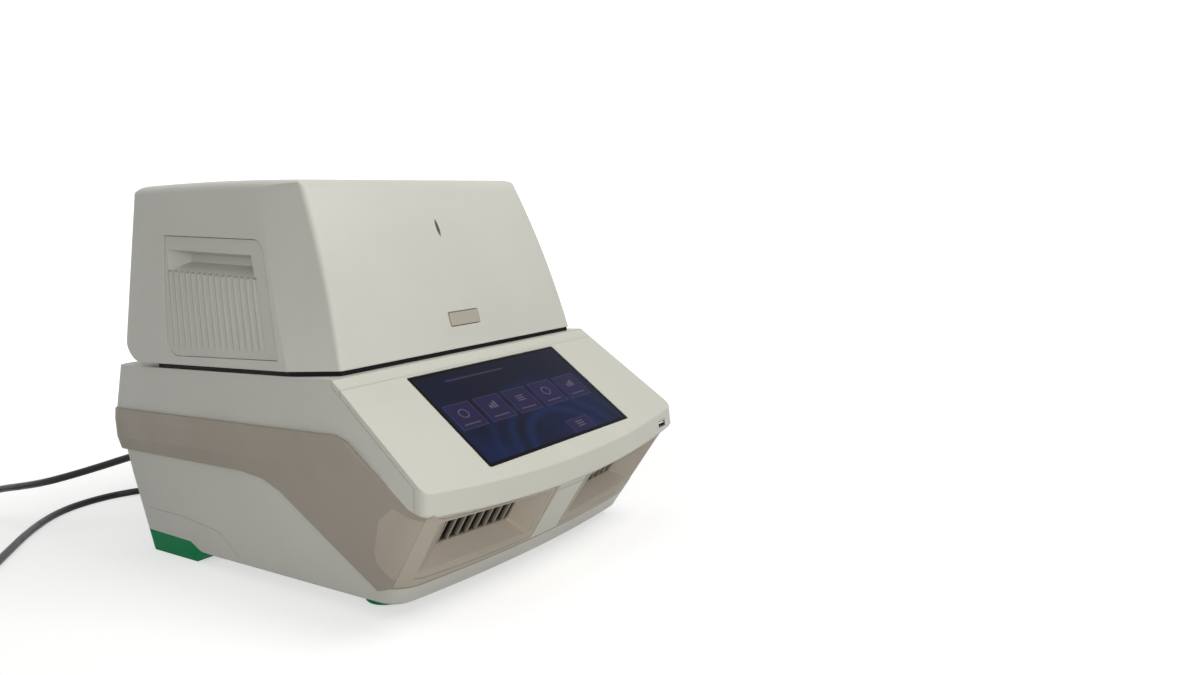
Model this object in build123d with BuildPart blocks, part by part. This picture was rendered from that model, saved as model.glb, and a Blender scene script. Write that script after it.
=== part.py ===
"""Real-time PCR system: a thermal cycler base with a sloped touch screen, and an optical lid that
swings up on two hinges at the rear. Millimetres, +Z up, front towards -Y, origin on the bench
under the middle of the case."""

import os
from math import acos, atan, cos, degrees, pi, radians, sin, sqrt, tan

from build123d import *

os.makedirs("parts", exist_ok=True)

# Overall sizes
case_width = 330.0
case_rear_y = 228.1
deck_z = 187.0
wall = 3.0
seam = 0.2

# Upper body and sloped bezel
upper_half_top = case_width / 2 - 8.7
upper_splay = 5.3
upper_rear_top_y = 215.0
upper_rear_low_y = 225.0
slope_angle = 37.15
slope_top_y = -115.7
lip_front_y = -228.1
lip_bow_radius = 1080.0
lip_middle_z = 83.0
lip_side_z = 94.0
lip_corner = 9.0
upper_corner = 14.0
bezel_wall = 4.5

# Waist band and lower body
band_top_z = 145.5
band_bottom_z = 105.5
band_wall = 5.0
lower_half_low = case_width / 2 - 19
lower_half_high = case_width / 2 - 7
lower_bottom_z = 11.5
front_run = 0.75
front_mid_y = -222.5
front_mid_z = 84.0
front_bow_radius = 890.0
corner_radius = 20.0
band_corner = 22.5

# Screen
screen_width = 185.0
screen_height = 107.0
screen_y = -170.5
glass_thickness = 2.2
glass_gap = 0.4

# Front air intakes
vent_inner_x = 17.5
vent_outer_top_x = case_width / 2 - 9.5
vent_outer_low_x = case_width / 2 - 15
vent_low_z = 28.0
vent_rear_y = -132.0
fin_count = 8
fin_thickness = 1.4

# Lid
lid_bottom = 191.0
lid_corner = 38.0
hinge_y = 160.0
hinge_z = lid_bottom + lid_corner
lid_half_width = 157.7
lid_draft = 10.37
lid_wall = 3.0
lid_front_y = -111.8
lid_rear_y = 202.3
lid_round = 10.0
lid_crease = 5.0
lid_rear_round = 14.0


def save(solid, name):
    """Label one finished piece and write it."""
    solid.label = name
    export_step(solid, f"parts/{name}.step")


def save_pair(solid, name):
    """Write a piece of the right side and its mirror image on the left."""
    save(solid, f"{name}_right")
    save(mirror(solid, about=Plane.YZ), f"{name}_left")


def slope_z(y):
    """Height of the sloped bezel at a depth y."""
    return deck_z + (y - slope_top_y) * tan(radians(slope_angle))


def front_y(z):
    """Depth of the lower front on the centre line, which falls back towards the bench."""
    return front_mid_y + front_run * (front_mid_z - z)


def side_prism(outline, reach=case_width / 2 + 10):
    """A block with one side outline of (y, z) points."""
    with BuildPart() as block:
        with BuildSketch(Plane.YZ):
            with BuildLine():
                Polyline(*outline, close=True)
            make_face()
        extrude(amount=reach, both=True)
    return block.part


def section_prism(half_outline):
    """A block with one cross section: (x, z) points of the right half, mirrored to the left."""
    left_half = [(-x, z) for x, z in reversed(half_outline)]
    with BuildPart() as block:
        with BuildSketch(Plane.XZ):
            with BuildLine():
                Polyline(*half_outline, *left_half, close=True)
            make_face()
        extrude(amount=400, both=True)
    return block.part


def bowed_block(middle_y, radius, low_z, high_z, run=0.0):
    """Everything behind a front that bows forward in plan and falls back by run below high_z."""
    reach = case_width
    side_y = middle_y + reach**2 / (2 * radius)
    height = high_z - low_z
    with BuildPart() as block:
        with BuildSketch(Plane.XY.offset(high_z)):
            with BuildLine():
                bow = ThreePointArc((-reach, side_y), (0, middle_y), (reach, side_y))
                Polyline(bow @ 1, (reach, 500), (-reach, 500), bow @ 0)
            make_face()
        extrude(amount=height * sqrt(1 + run**2), dir=(0, run, -1))
    return block.part


def upper_form(inset):
    """Outer form of the upper body and bezel, or the space inside it."""
    rise = inset / cos(radians(slope_angle))
    low_z = 60.0
    top_z = deck_z - inset
    low_y = -260.0
    outline = [
        (upper_rear_top_y - inset, top_z),
        (slope_top_y + (rise - inset) / tan(radians(slope_angle)), top_z),
        (low_y, slope_z(low_y) - rise),
        (low_y, low_z),
        (upper_rear_low_y - inset, low_z),
        (upper_rear_low_y - inset, band_top_z),
    ]
    splay = tan(radians(upper_splay))
    half_low = upper_half_top + (deck_z - low_z) * splay - inset
    half_high = upper_half_top - 10 * splay - inset
    with BuildPart() as form:
        add(side_prism(outline))
        add(section_prism([(half_low, low_z), (half_high, deck_z + 10)]), mode=Mode.INTERSECT)
        add(
            bowed_block(lip_front_y + inset, lip_bow_radius - inset, low_z - 5, deck_z + 20),
            mode=Mode.INTERSECT,
        )
        rear = [e for e in edges() if abs(e.tangent_at(0.5).Z) > 0.9 and e.center().Y > 200]
        fillet(rear, upper_corner - inset)
        front = [e for e in edges() if abs(e.tangent_at(0.5).Z) > 0.9 and e.center().Y < -200]
        fillet(front, lip_corner - inset)
    return form.part


def band_top_line():
    """Seam under the upper body, from the rear to the front corner, as (y, z) points."""
    return [
        (260, band_top_z),
        (-120, band_top_z),
        (-134, band_top_z - 4),
        (-199, lip_side_z + 4.5),
        (-214, lip_side_z),
        (-270, lip_side_z),
    ]


def band_bottom_line():
    """Seam over the lower body, from the front corner to the rear, as (y, z) points."""
    return [
        (-270, vent_low_z),
        (-153, vent_low_z - 2),
        (-141, vent_low_z - 5),
        (-40, 92.5),
        (-20, 101),
        (10, band_bottom_z - 1),
        (260, band_bottom_z + 1),
    ]


def band_layer(low_z, high_z, half_low, half_high, inset):
    """One tapered layer of the waist band's outer form, open in plan towards the front."""
    half = half_low - inset
    rear_y = case_rear_y - case_width / 2 + half_low - inset
    with BuildPart() as layer:
        with BuildSketch(Plane.XY.offset(low_z)):
            with BuildLine():
                Polyline((-half, -400), (half, -400), (half, rear_y), (-half, rear_y), close=True)
            make_face()
            fillet(vertices().group_by(Axis.Y)[-1], band_corner - case_width / 2 + half_low - inset)
        extrude(amount=high_z - low_z, taper=degrees(atan((half_low - half_high) / (high_z - low_z))))
    return layer.part


def band_form(inset):
    """Outer form of the waist band and front corners, or the space inside it."""
    full = case_width / 2
    with BuildPart() as form:
        add(band_layer(20, 106, full - 13.5, full - 2.5, inset))
        middle_y = front_y(110) + inset * sqrt(1 + front_run**2)
        add(
            bowed_block(middle_y, front_bow_radius - inset, 5, 110, front_run),
            mode=Mode.INTERSECT,
        )
        front = [e for e in edges() if abs(e.tangent_at(0.5).Z) > 0.5 and e.center().Y < -100]
        fillet(front, corner_radius + 4 - inset)
        add(band_layer(106, 118, full - 2.5, full, inset))
        add(band_layer(118, 136, full, full, inset))
        add(band_layer(136, 150, full, full - 1.8, inset))
    return form.part


def lower_form(inset):
    """Outer form of the lower body, or the space inside it."""
    per_height = (lower_half_high - lower_half_low) / 105
    with BuildPart() as form:
        add(
            side_prism(
                [(220 - inset, 112), (219.5 - inset, 80), (213.5 - inset, 0), (-260, 0), (-260, 112)]
            )
        )
        add(
            section_prism(
                [(lower_half_low - inset, 0), (lower_half_low + per_height * 112 - inset, 112)]
            ),
            mode=Mode.INTERSECT,
        )
        middle_y = front_y(120) + inset * sqrt(1 + front_run**2)
        add(
            bowed_block(middle_y, front_bow_radius - inset, -5, 120, front_run),
            mode=Mode.INTERSECT,
        )
        rear = [e for e in edges() if abs(e.tangent_at(0.5).Z) > 0.9 and e.center().Y > 200]
        fillet(rear, upper_corner - inset)
        front = [e for e in edges() if abs(e.tangent_at(0.5).Z) > 0.5 and e.center().Y < -100]
        fillet(front, corner_radius - inset)
    return form.part


def lip_block(far_z):
    """The space on one side of the arched lower edge of the lip, out to far_z."""
    half = case_width / 2 + 5
    with BuildPart() as block:
        with BuildSketch(Plane.XZ.offset(195)):
            with BuildLine():
                arch = ThreePointArc((-half, lip_side_z + 0.5), (0, lip_middle_z), (half, lip_side_z + 0.5))
                Polyline(arch @ 1, (half, far_z), (-half, far_z), arch @ 0)
            make_face()
        extrude(amount=80)
    return block.part


def height_slab(low, high):
    """A wide block between two heights."""
    with BuildPart() as slab:
        with BuildSketch(Plane.XY.offset(low)):
            Rectangle(500, 700)
        extrude(amount=high - low)
    return slab.part


def front_zone(inner_x, low_x, high_x):
    """The front from inner_x out to a leaning side, on the right, as a cutting block."""
    with BuildPart() as block:
        with BuildSketch(Plane.XZ.offset(-vent_rear_y)):
            with BuildLine():
                Polyline(
                    (inner_x, vent_low_z),
                    (low_x, vent_low_z),
                    (high_x, lip_side_z - 2),
                    (high_x, 120),
                    (inner_x, 120),
                    close=True,
                )
            make_face()
        extrude(amount=200)
    return block.part


upper_solid = upper_form(0)
band_solid = band_form(0)
lower_solid = lower_form(0)
under_band_top = side_prism(band_top_line() + [(-270, -5), (260, -5)])
over_band_bottom = side_prism(band_bottom_line() + [(260, 220), (-270, 220)])
under_lip = lip_block(0)
over_lip = lip_block(150)
with BuildPart() as front_gap:
    add(front_zone(0, vent_outer_low_x, vent_outer_top_x))
    mirror(about=Plane.YZ)

# Sample block and deck opening
block_y = 10.0
bay_width = 134.0
bay_depth = 98.0

# Bezel: the sloped face with the lip at its foot
bezel_drop = bezel_wall / cos(radians(slope_angle))
lip_back_y = -205.0
bezel_zone = side_prism(
    [
        (slope_top_y, deck_z + 5),
        (slope_top_y, deck_z - bezel_drop),
        (lip_back_y, slope_z(lip_back_y) - bezel_drop),
        (lip_back_y, 50),
        (-270, 50),
        (-270, deck_z + 5),
    ]
)
slope_plane = Plane(
    origin=(0, screen_y, slope_z(screen_y)),
    x_dir=(1, 0, 0),
    z_dir=(0, -sin(radians(slope_angle)), cos(radians(slope_angle))),
)
usb_x = case_width / 2 - 25
usb_z = 98.0
with BuildPart() as front_bezel:
    add(upper_solid)
    add(bezel_zone, mode=Mode.INTERSECT)
    add(upper_form(bezel_wall), mode=Mode.SUBTRACT)
    add(under_band_top - front_gap.part, mode=Mode.SUBTRACT)
    add(under_lip, mode=Mode.SUBTRACT)
    with BuildSketch(slope_plane.offset(2)):
        RectangleRounded(screen_width + 2 * glass_gap, screen_height + 2 * glass_gap, 2)
    extrude(amount=-bezel_wall - 4, mode=Mode.SUBTRACT)
    with BuildSketch(Plane.XZ.offset(180)):
        with Locations((usb_x, usb_z)):
            Rectangle(14, 7)
    extrude(amount=80, mode=Mode.SUBTRACT)
save(front_bezel.part, "front_bezel")

# Upper body: cheeks, rear wall and deck with the opening for the sample block
with BuildPart() as upper_body:
    add(upper_solid)
    add(upper_form(wall), mode=Mode.SUBTRACT)
    add(bezel_zone, mode=Mode.SUBTRACT)
    add(under_band_top, mode=Mode.SUBTRACT)
    with BuildSketch(Plane.XY.offset(deck_z - 10)):
        with Locations((0, block_y)):
            RectangleRounded(bay_width, bay_depth, 6)
    extrude(amount=20, mode=Mode.SUBTRACT)
save(upper_body.part, "upper_body")

# Waist band and corner caps
cap_outline = [
    (-178, 96), (-160, 84), (-147, 57), (-147, 47), (-160, 35.5), (-270, 35.5), (-270, 87), (-205, 87),
]
cap_zone = side_prism(cap_outline)
with BuildPart() as waist_band:
    add(band_solid)
    add(under_band_top, mode=Mode.INTERSECT)
    add(over_band_bottom, mode=Mode.INTERSECT)
    add(band_form(band_wall), mode=Mode.SUBTRACT)
    add(front_gap.part, mode=Mode.SUBTRACT)
    add(cap_zone, mode=Mode.SUBTRACT)
save(waist_band.part, "waist_band")
with BuildPart() as corner_cap:
    add(band_solid)
    add(under_band_top, mode=Mode.INTERSECT)
    add(cap_zone, mode=Mode.INTERSECT)
    add(band_form(band_wall), mode=Mode.SUBTRACT)
    add(front_gap.part, mode=Mode.SUBTRACT)
    with BuildSketch(Plane.YZ):
        Rectangle(1000, 1000)
    extrude(amount=300, mode=Mode.INTERSECT)
save_pair(corner_cap.part, "corner_cap")

# Front air intakes: a face plate with a recess that narrows to a throat full of fins
mouth_corner = 5.0
mouth_bevel = 2.2
throat_corner = 2.5
throat_run = 12.0
intake_depth = 16.0
duct_wall = 2.5
fin_gap = 0.3
first_fin = 23.5
fin_pitch = 9.9


def face_point(x, z):
    """A point on the bowed front below the lip."""
    return Vector(x, front_y(z) + x**2 / (2 * front_bow_radius), z)


mouth_places = [(22.8, 35), (vent_outer_low_x - 6, 38), (vent_outer_top_x - 7.9, 84.8), (26.5, 76.7)]
mouth_corners = [face_point(x, z) for x, z in mouth_places]
mouth_across = mouth_corners[1] - mouth_corners[0]
mouth_up = mouth_corners[3] - mouth_corners[0]
mouth_plane = Plane(origin=mouth_corners[0], x_dir=mouth_across, z_dir=mouth_across.cross(mouth_up))


def rounded_outline(corners, radius, grow=0.0):
    """A face with rounded corners, grown all round."""
    with BuildSketch() as shape:
        with BuildLine():
            Polyline(*corners, close=True)
        make_face()
        if grow:
            offset(amount=grow, kind=Kind.INTERSECTION)
        fillet(vertices(), radius + grow)
    return shape.sketch


def mouth_outline(grow):
    """Outline of the right mouth in mouth_plane."""
    corners = [mouth_plane.to_local_coords(corner) for corner in mouth_corners]
    return rounded_outline([(corner.X, corner.Y) for corner in corners], mouth_corner, grow)


def throat_outline(grow):
    """Outline of the right throat in a plane parallel to mouth_plane."""
    outer = vent_outer_low_x - 55.6
    corners = [(18.2, 8.4), (outer, 8.4), (outer + 1.6, 50), (19.5, 48)]
    return rounded_outline(corners, throat_corner, grow)


def recess(grow):
    """The air space of the right intake, from in front of the mouth back through the throat."""
    with BuildPart() as shape:
        with BuildSketch(mouth_plane):
            add(mouth_outline(grow))
        extrude(amount=10)
        with BuildSketch(mouth_plane):
            add(mouth_outline(grow))
        with BuildSketch(mouth_plane.offset(-intake_depth)):
            add(throat_outline(grow))
        loft(ruled=True)
        with BuildSketch(mouth_plane.offset(-intake_depth)):
            add(throat_outline(grow))
        extrude(amount=-throat_run)
    return shape.part


vent_zone = front_zone(vent_inner_x, vent_outer_low_x, vent_outer_top_x)
with BuildPart() as mouth_edge:
    with BuildSketch(mouth_plane.offset(2 * mouth_bevel)):
        add(mouth_outline(2.3 * mouth_bevel))
    with BuildSketch(mouth_plane.offset(-0.6 * mouth_bevel)):
        add(mouth_outline(0))
    loft(ruled=True)
with BuildPart() as vent_frame:
    add(band_solid)
    add(vent_zone, mode=Mode.INTERSECT)
    add(over_lip, mode=Mode.SUBTRACT)
    add(band_form(wall), mode=Mode.SUBTRACT)
with BuildPart() as vent_duct:
    add(recess(duct_wall))
    add(band_solid, mode=Mode.INTERSECT)
    add(vent_zone, mode=Mode.INTERSECT)
    add(over_lip, mode=Mode.SUBTRACT)
with BuildPart() as air_intake:
    add(vent_frame.part)
    add(vent_duct.part)
    add(recess(0), mode=Mode.SUBTRACT)
    add(mouth_edge.part, mode=Mode.SUBTRACT)
save_pair(air_intake.part, "air_intake")

ring_plane = mouth_plane.offset(-intake_depth - throat_run)
fin_places = [(first_fin + fin_pitch * i, 29) for i in range(fin_count)]
ring_thickness = 2.0
with BuildPart() as intake_fins:
    with BuildSketch(ring_plane):
        with Locations(fin_places):
            Rectangle(fin_thickness, 60)
        add(throat_outline(duct_wall), mode=Mode.INTERSECT)
        add(throat_outline(duct_wall) - throat_outline(0))
    extrude(amount=-ring_thickness)
    with BuildSketch(ring_plane):
        with Locations(fin_places):
            Rectangle(fin_thickness, 60)
        add(throat_outline(-fin_gap), mode=Mode.INTERSECT)
    extrude(amount=throat_run - 0.5)
    mirror(about=Plane.YZ)
save(intake_fins.part, "intake_fins")

with BuildPart() as front_keel:
    add(band_solid)
    with BuildSketch(Plane.XZ.offset(100)):
        with Locations((0, 70)):
            Rectangle(2 * vent_inner_x, 2 * (70 - vent_low_z))
    extrude(amount=200, mode=Mode.INTERSECT)
    add(over_lip, mode=Mode.SUBTRACT)
    add(band_form(4), mode=Mode.SUBTRACT)
save(front_keel.part, "front_keel")

# Feet
foot_inner_x = 104.0
with BuildPart() as rear_foot:
    add(side_prism([(225, 0), (126, 0), (109, 10.5), (117, 13), (130, 20), (225, 22.3)]))
    add(lower_solid, mode=Mode.INTERSECT)
    with BuildSketch(Plane.YZ.offset(foot_inner_x)):
        Rectangle(1000, 1000)
    extrude(amount=300, mode=Mode.INTERSECT)
save_pair(rear_foot.part, "rear_foot")
foot_x = case_width / 2 - 51
foot_y = -111.0
foot_radius = 21.0
pan_low_z = 9.0
pan_wall = 2.0
foot_places = [(foot_x, foot_y), (-foot_x, foot_y)]
with BuildPart() as front_feet:
    with BuildSketch(Plane.XY):
        with Locations(foot_places):
            Circle(foot_radius)
    extrude(amount=pan_low_z)
    chamfer(edges().group_by(Axis.Z)[0], 1)
    with BuildSketch(Plane.XY.offset(pan_low_z)):
        with Locations(foot_places):
            Circle(4)
    extrude(amount=12)
save(front_feet.part, "front_feet")

# Lower body and base pan
with BuildPart() as foot_blocks:
    add(rear_foot.part)
    mirror(about=Plane.YZ)
panel_half = case_width / 2 - 29
panel_low = 27.0
panel_high = 100.0
with BuildPart() as lower_body:
    add(lower_solid)
    add(lower_form(wall), mode=Mode.SUBTRACT)
    add(over_band_bottom, mode=Mode.SUBTRACT)
    add(height_slab(-5, lower_bottom_z), mode=Mode.SUBTRACT)
    add(foot_blocks.part, mode=Mode.SUBTRACT)
    with BuildSketch(Plane.XZ.offset(-190)):
        with Locations((0, (panel_low + panel_high) / 2)):
            RectangleRounded(2 * panel_half, panel_high - panel_low, 5)
    extrude(amount=-60, mode=Mode.SUBTRACT)
save(lower_body.part, "lower_body")
with BuildPart() as base_pan:
    add(lower_form(wall + seam))
    add(height_slab(pan_low_z, 20), mode=Mode.INTERSECT)
    with BuildPart(mode=Mode.SUBTRACT):
        add(lower_form(wall + seam + pan_wall))
        add(height_slab(pan_low_z + pan_wall, 20), mode=Mode.INTERSECT)
    add(foot_blocks.part, mode=Mode.SUBTRACT)
    with BuildSketch(Plane.XY):
        with Locations(foot_places):
            Circle(4)
    extrude(amount=30, mode=Mode.SUBTRACT)
save(base_pan.part, "base_pan")

# Screen: glass in the bezel's window, display clipped to the back of the bezel
with BuildPart() as touch_glass:
    with BuildSketch(slope_plane.offset(-0.4 - glass_thickness)):
        RectangleRounded(screen_width, screen_height, 1.6)
    extrude(amount=glass_thickness)
save(touch_glass.part, "touch_glass")
display_flange = 5.5
with BuildPart() as display_module:
    with BuildSketch(slope_plane.offset(-bezel_wall - display_flange)):
        Rectangle(screen_width + 11, screen_height + 10)
    extrude(amount=display_flange)
    with BuildSketch(slope_plane.offset(-bezel_wall)):
        Rectangle(screen_width - 3, screen_height - 3)
    extrude(amount=bezel_wall - 0.4 - glass_thickness)
save(display_module.part, "display_module")

# Front USB socket in the lip
usb_face_y = lip_front_y + usb_x**2 / (2 * lip_bow_radius) + 0.5
with BuildPart() as front_usb_socket:
    with BuildSketch(Plane.XZ.offset(-usb_face_y)):
        with Locations((usb_x, usb_z)):
            Rectangle(13.6, 6.6)
            Rectangle(12.4, 5.4, mode=Mode.SUBTRACT)
    extrude(amount=-13)
    with BuildSketch(Plane.XZ.offset(-usb_face_y - 11)):
        with Locations((usb_x, usb_z)):
            Rectangle(13.6, 6.6)
    extrude(amount=-2)
    with BuildSketch(Plane.XZ.offset(-usb_face_y - 1)):
        with Locations((usb_x, usb_z + 1)):
            Rectangle(10.6, 1.8)
    extrude(amount=-11)
save(front_usb_socket.part, "front_usb_socket")

# Rear panel with exhaust slots, fans behind them, mains inlet, switch and data sockets
panel_wall = 2.2
fan_size = 70.0
fan_depth = 25.0
fan_z = 63.5
fan_xs = (20.0, 96.0)
inlet_x = -100.0
inlet_z = 78.0
switch_x = -58.0
data_x = -30.0
data_z = 46.0
usb_pair_x = -100.0
usb_pair_z = 44.0
panel_y = 216.5
slot_pitch = 7.0
slot_height = 4.0
grille_radius = 31.0


def rear_block(x, z, width, height, near_y, far_y, radius=1.0):
    """A block seen from the rear as a rounded rectangle, between two depths."""
    with BuildPart() as block:
        with BuildSketch(Plane.XZ.offset(-near_y)):
            with Locations((x, z)):
                RectangleRounded(width, height, radius)
        extrude(amount=near_y - far_y)
    return block.part


panel_face = lower_form(0.8)
with BuildPart() as rear_panel:
    add(panel_face)
    add(lower_form(0.8 + panel_wall), mode=Mode.SUBTRACT)
    add(
        rear_block(
            0,
            (panel_low + panel_high) / 2,
            2 * (panel_half - seam),
            panel_high - panel_low - 2 * seam,
            190,
            240,
            5 - seam,
        ),
        mode=Mode.INTERSECT,
    )
    with BuildSketch(Plane.XZ.offset(-190)):
        for fan_x in fan_xs:
            for row in range(-4, 5):
                rise = row * slot_pitch
                reach = sqrt(grille_radius**2 - rise**2) - 1.5
                offset_x = reach / 2 + 1.5
                with Locations((fan_x - offset_x, fan_z + rise), (fan_x + offset_x, fan_z + rise)):
                    Rectangle(reach, slot_height)
        with Locations((inlet_x, inlet_z)):
            RectangleRounded(31, 26, 2)
        with Locations((switch_x, inlet_z)):
            Rectangle(14, 20)
        with Locations((data_x, data_z)):
            Rectangle(13, 12)
        with Locations((usb_pair_x, usb_pair_z)):
            Rectangle(15, 17)
    extrude(amount=-60, mode=Mode.SUBTRACT)
save(rear_panel.part, "rear_panel")

fan_front_y = 187.4
fan_bore = 32.0
hub_radius = 14.0
blade_count = 7
fan_places = [(fan_x, fan_z) for fan_x in fan_xs]
with BuildPart() as fan_housings:
    with BuildSketch(Plane.XZ.offset(-fan_front_y)):
        with Locations(fan_places):
            RectangleRounded(fan_size, fan_size, 4)
            Circle(fan_bore, mode=Mode.SUBTRACT)
    extrude(amount=-fan_depth)
    with BuildSketch(Plane.XZ.offset(-fan_front_y)):
        with Locations(fan_places):
            Circle(hub_radius)
            for spoke in range(3):
                Rectangle(2 * fan_bore + 2, 3.5, rotation=30 + 60 * spoke)
    extrude(amount=-3)
    with BuildSketch(Plane.XZ.offset(-fan_front_y - 3)):
        with Locations(fan_places):
            Circle(2)
    extrude(amount=-14)
save(fan_housings.part, "fan_housings")
for side, fan_x in zip(("left", "right"), fan_xs):
    with BuildPart() as fan_rotor:
        with BuildSketch(Plane.XZ.offset(-fan_front_y - 4.5)):
            with Locations((fan_x, fan_z)):
                Circle(hub_radius)
        extrude(amount=-18)
        with BuildSketch(Plane.XZ.offset(-fan_front_y - 4)):
            with Locations((fan_x, fan_z)):
                Circle(2.05)
        extrude(amount=-16, mode=Mode.SUBTRACT)
        with BuildPart(mode=Mode.PRIVATE) as blade:
            for depth, turn in ((6, -14), (21, 14)):
                with BuildSketch(Plane.XZ.offset(-fan_front_y - depth)):
                    with Locations((fan_x, fan_z)):
                        with PolarLocations(21.5, 1, start_angle=turn):
                            Rectangle(18.5, 1.8)
            loft()
        hub_axis = Axis((fan_x, 0, fan_z), (0, 1, 0))
        for index in range(blade_count):
            add(blade.part.rotate(hub_axis, index * 360 / blade_count))
    save(fan_rotor.part, f"fan_rotor_{side}")

# Sample block with its wells, on thermoelectric modules and a finned heat sink
well_columns = 12
well_rows = 8
well_pitch = 9.0
block_width = 112.0
block_depth = 76.0
block_top_z = 190.0
block_flange_z = 180.0
block_low_z = 174.0
module_thickness = 4.0
sink_plate = 8.0
sink_fin_height = 44.0
sink_fins = 18
with BuildPart() as sample_block:
    with BuildSketch(Plane.XY.offset(block_low_z)):
        with Locations((0, block_y)):
            Rectangle(block_width + 12, block_depth + 12)
    extrude(amount=block_flange_z - block_low_z)
    with BuildSketch(Plane.XY.offset(block_flange_z)):
        with Locations((0, block_y)):
            RectangleRounded(block_width, block_depth, 3)
    extrude(amount=block_top_z - block_flange_z)
    with BuildSketch(Plane.XY.offset(block_top_z)):
        with Locations((0, block_y)):
            with GridLocations(well_pitch, well_pitch, well_columns, well_rows):
                RegularPolygon(3.1, 10)
    extrude(amount=-13, taper=8, mode=Mode.SUBTRACT)
save(sample_block.part, "sample_block")
with BuildPart() as block_surround:
    with BuildSketch(Plane.XY.offset(block_flange_z)):
        with Locations((0, block_y)):
            RectangleRounded(bay_width - 2 * seam, bay_depth - 2 * seam, 6 - seam)
            RectangleRounded(block_width + 2 * seam, block_depth + 2 * seam, 3, mode=Mode.SUBTRACT)
    extrude(amount=deck_z - block_flange_z)
    with BuildSketch(Plane.XY.offset(deck_z)):
        with Locations((0, block_y)):
            RectangleRounded(bay_width + 8, bay_depth + 8, 9)
            RectangleRounded(block_width + 2 * seam, block_depth + 2 * seam, 3, mode=Mode.SUBTRACT)
    extrude(amount=1.2)
save(block_surround.part, "block_surround")
with BuildPart() as thermoelectric_modules:
    with BuildSketch(Plane.XY.offset(block_low_z - module_thickness)):
        with Locations((0, block_y)):
            with GridLocations(40, 40, 3, 2):
                Rectangle(39, 39)
    extrude(amount=module_thickness)
save(thermoelectric_modules.part, "thermoelectric_modules")
sink_top_z = block_low_z - module_thickness
with BuildPart() as heat_sink:
    with BuildSketch(Plane.XY.offset(sink_top_z - sink_plate)):
        with Locations((0, block_y)):
            Rectangle(130, 94)
    extrude(amount=sink_plate)
    with BuildSketch(Plane.XY.offset(sink_top_z - sink_plate - sink_fin_height)):
        with Locations((0, block_y)):
            with GridLocations(7.5, 1, sink_fins, 1):
                Rectangle(1.8, 94)
    extrude(amount=sink_fin_height)
save(heat_sink.part, "heat_sink")

# Power supply and main board on the base pan
floor_z = pan_low_z + pan_wall
supply_x = -60.0
supply_y = 100.0
supply_width = 76.0
supply_length = 140.0
board_x = 32.0
board_y = -60.0
board_width = 142.0
board_length = 162.0
with BuildPart() as power_supply:
    with BuildSketch(Plane.XY.offset(floor_z)):
        with Locations((supply_x, supply_y)):
            Rectangle(supply_width, supply_length)
    extrude(amount=42)
    fillet(edges().filter_by(Axis.Y), 1.5)
    with BuildSketch(Plane.XZ.offset(-supply_y + supply_length / 2)):
        with Locations((supply_x, floor_z + 21)):
            with GridLocations(8, 1, 8, 1):
                SlotOverall(30, 4, rotation=90)
    extrude(amount=-2, mode=Mode.SUBTRACT)
save(power_supply.part, "power_supply")
with BuildPart() as main_board:
    board_z = floor_z + 9
    with BuildSketch(Plane.XY.offset(floor_z)):
        with Locations((board_x, board_y)):
            with GridLocations(board_width - 12, board_length - 12, 2, 2):
                Circle(3.5)
    extrude(amount=9)
    with BuildSketch(Plane.XY.offset(board_z)):
        with Locations((board_x, board_y)):
            Rectangle(board_width, board_length)
    extrude(amount=1.6)
    with BuildSketch(Plane.XY.offset(board_z + 1.6)):
        with Locations((board_x - 25, board_y - 10), (board_x + 35, board_y + 40)):
            Rectangle(34, 34)
        with Locations((board_x + 5, board_y + 68), (board_x - 55, board_y + 50)):
            Rectangle(20, 8)
    extrude(amount=6)
save(main_board.part, "main_board")

# Mains inlet, power switch and data sockets in the rear panel
def rear_flange(x, z, width, height, far_y):
    """A flange that lies on the leaning rear panel."""
    with BuildPart() as flange:
        add(rear_block(x, z, width, height, panel_y - 4, far_y, 2))
        add(panel_face, mode=Mode.SUBTRACT)
    return flange.part


with BuildPart() as mains_inlet:
    add(rear_block(inlet_x, inlet_z, 30.4, 25.4, 196, panel_y + 3, 2))
    add(rear_flange(inlet_x, inlet_z, 36, 31, panel_y + 4.5))
    add(rear_block(inlet_x, inlet_z, 25, 17, 200, panel_y + 10, 3), mode=Mode.SUBTRACT)
    for pin_x, pin_z in ((-7, -2), (7, -2), (0, 4)):
        add(rear_block(inlet_x + pin_x, inlet_z + pin_z, 2, 4, 199, panel_y + 1, 0.5))
save(mains_inlet.part, "mains_inlet")
with BuildPart() as switch_body:
    add(rear_block(switch_x, inlet_z, 13.6, 19.6, 200, panel_y + 3, 1))
    add(rear_flange(switch_x, inlet_z, 17, 23, panel_y + 3.6))
    add(rear_block(switch_x, inlet_z, 11.4, 17, panel_y - 8, panel_y + 10, 0.5), mode=Mode.SUBTRACT)
    with BuildSketch(Plane.YZ.offset(switch_x - 6)):
        with Locations((panel_y - 2, inlet_z)):
            Circle(1.2)
    extrude(amount=12)
save(switch_body.part, "switch_body")
with BuildPart() as power_rocker:
    with BuildSketch(Plane.YZ.offset(switch_x - 5.5)):
        with BuildLine():
            Polyline(
                (panel_y - 4, inlet_z - 4),
                (panel_y + 2.2, inlet_z - 7),
                (panel_y + 1.6, inlet_z),
                (panel_y + 4.4, inlet_z + 7),
                (panel_y - 4, inlet_z + 4),
                close=True,
            )
        make_face()
        with Locations((panel_y - 2, inlet_z)):
            Circle(1.26, mode=Mode.SUBTRACT)
    extrude(amount=11)
save(power_rocker.part, "power_rocker")
with BuildPart() as data_socket:
    add(rear_block(data_x, data_z, 12.6, 11.6, 200, panel_y + 1, 0.5))
    add(rear_block(data_x, data_z, 9, 8.2, 202, panel_y + 5, 0.5), mode=Mode.SUBTRACT)
    add(rear_block(data_x, data_z, 5, 2.6, 201, panel_y - 1, 0.3))
save(data_socket.part, "data_socket")
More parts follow.
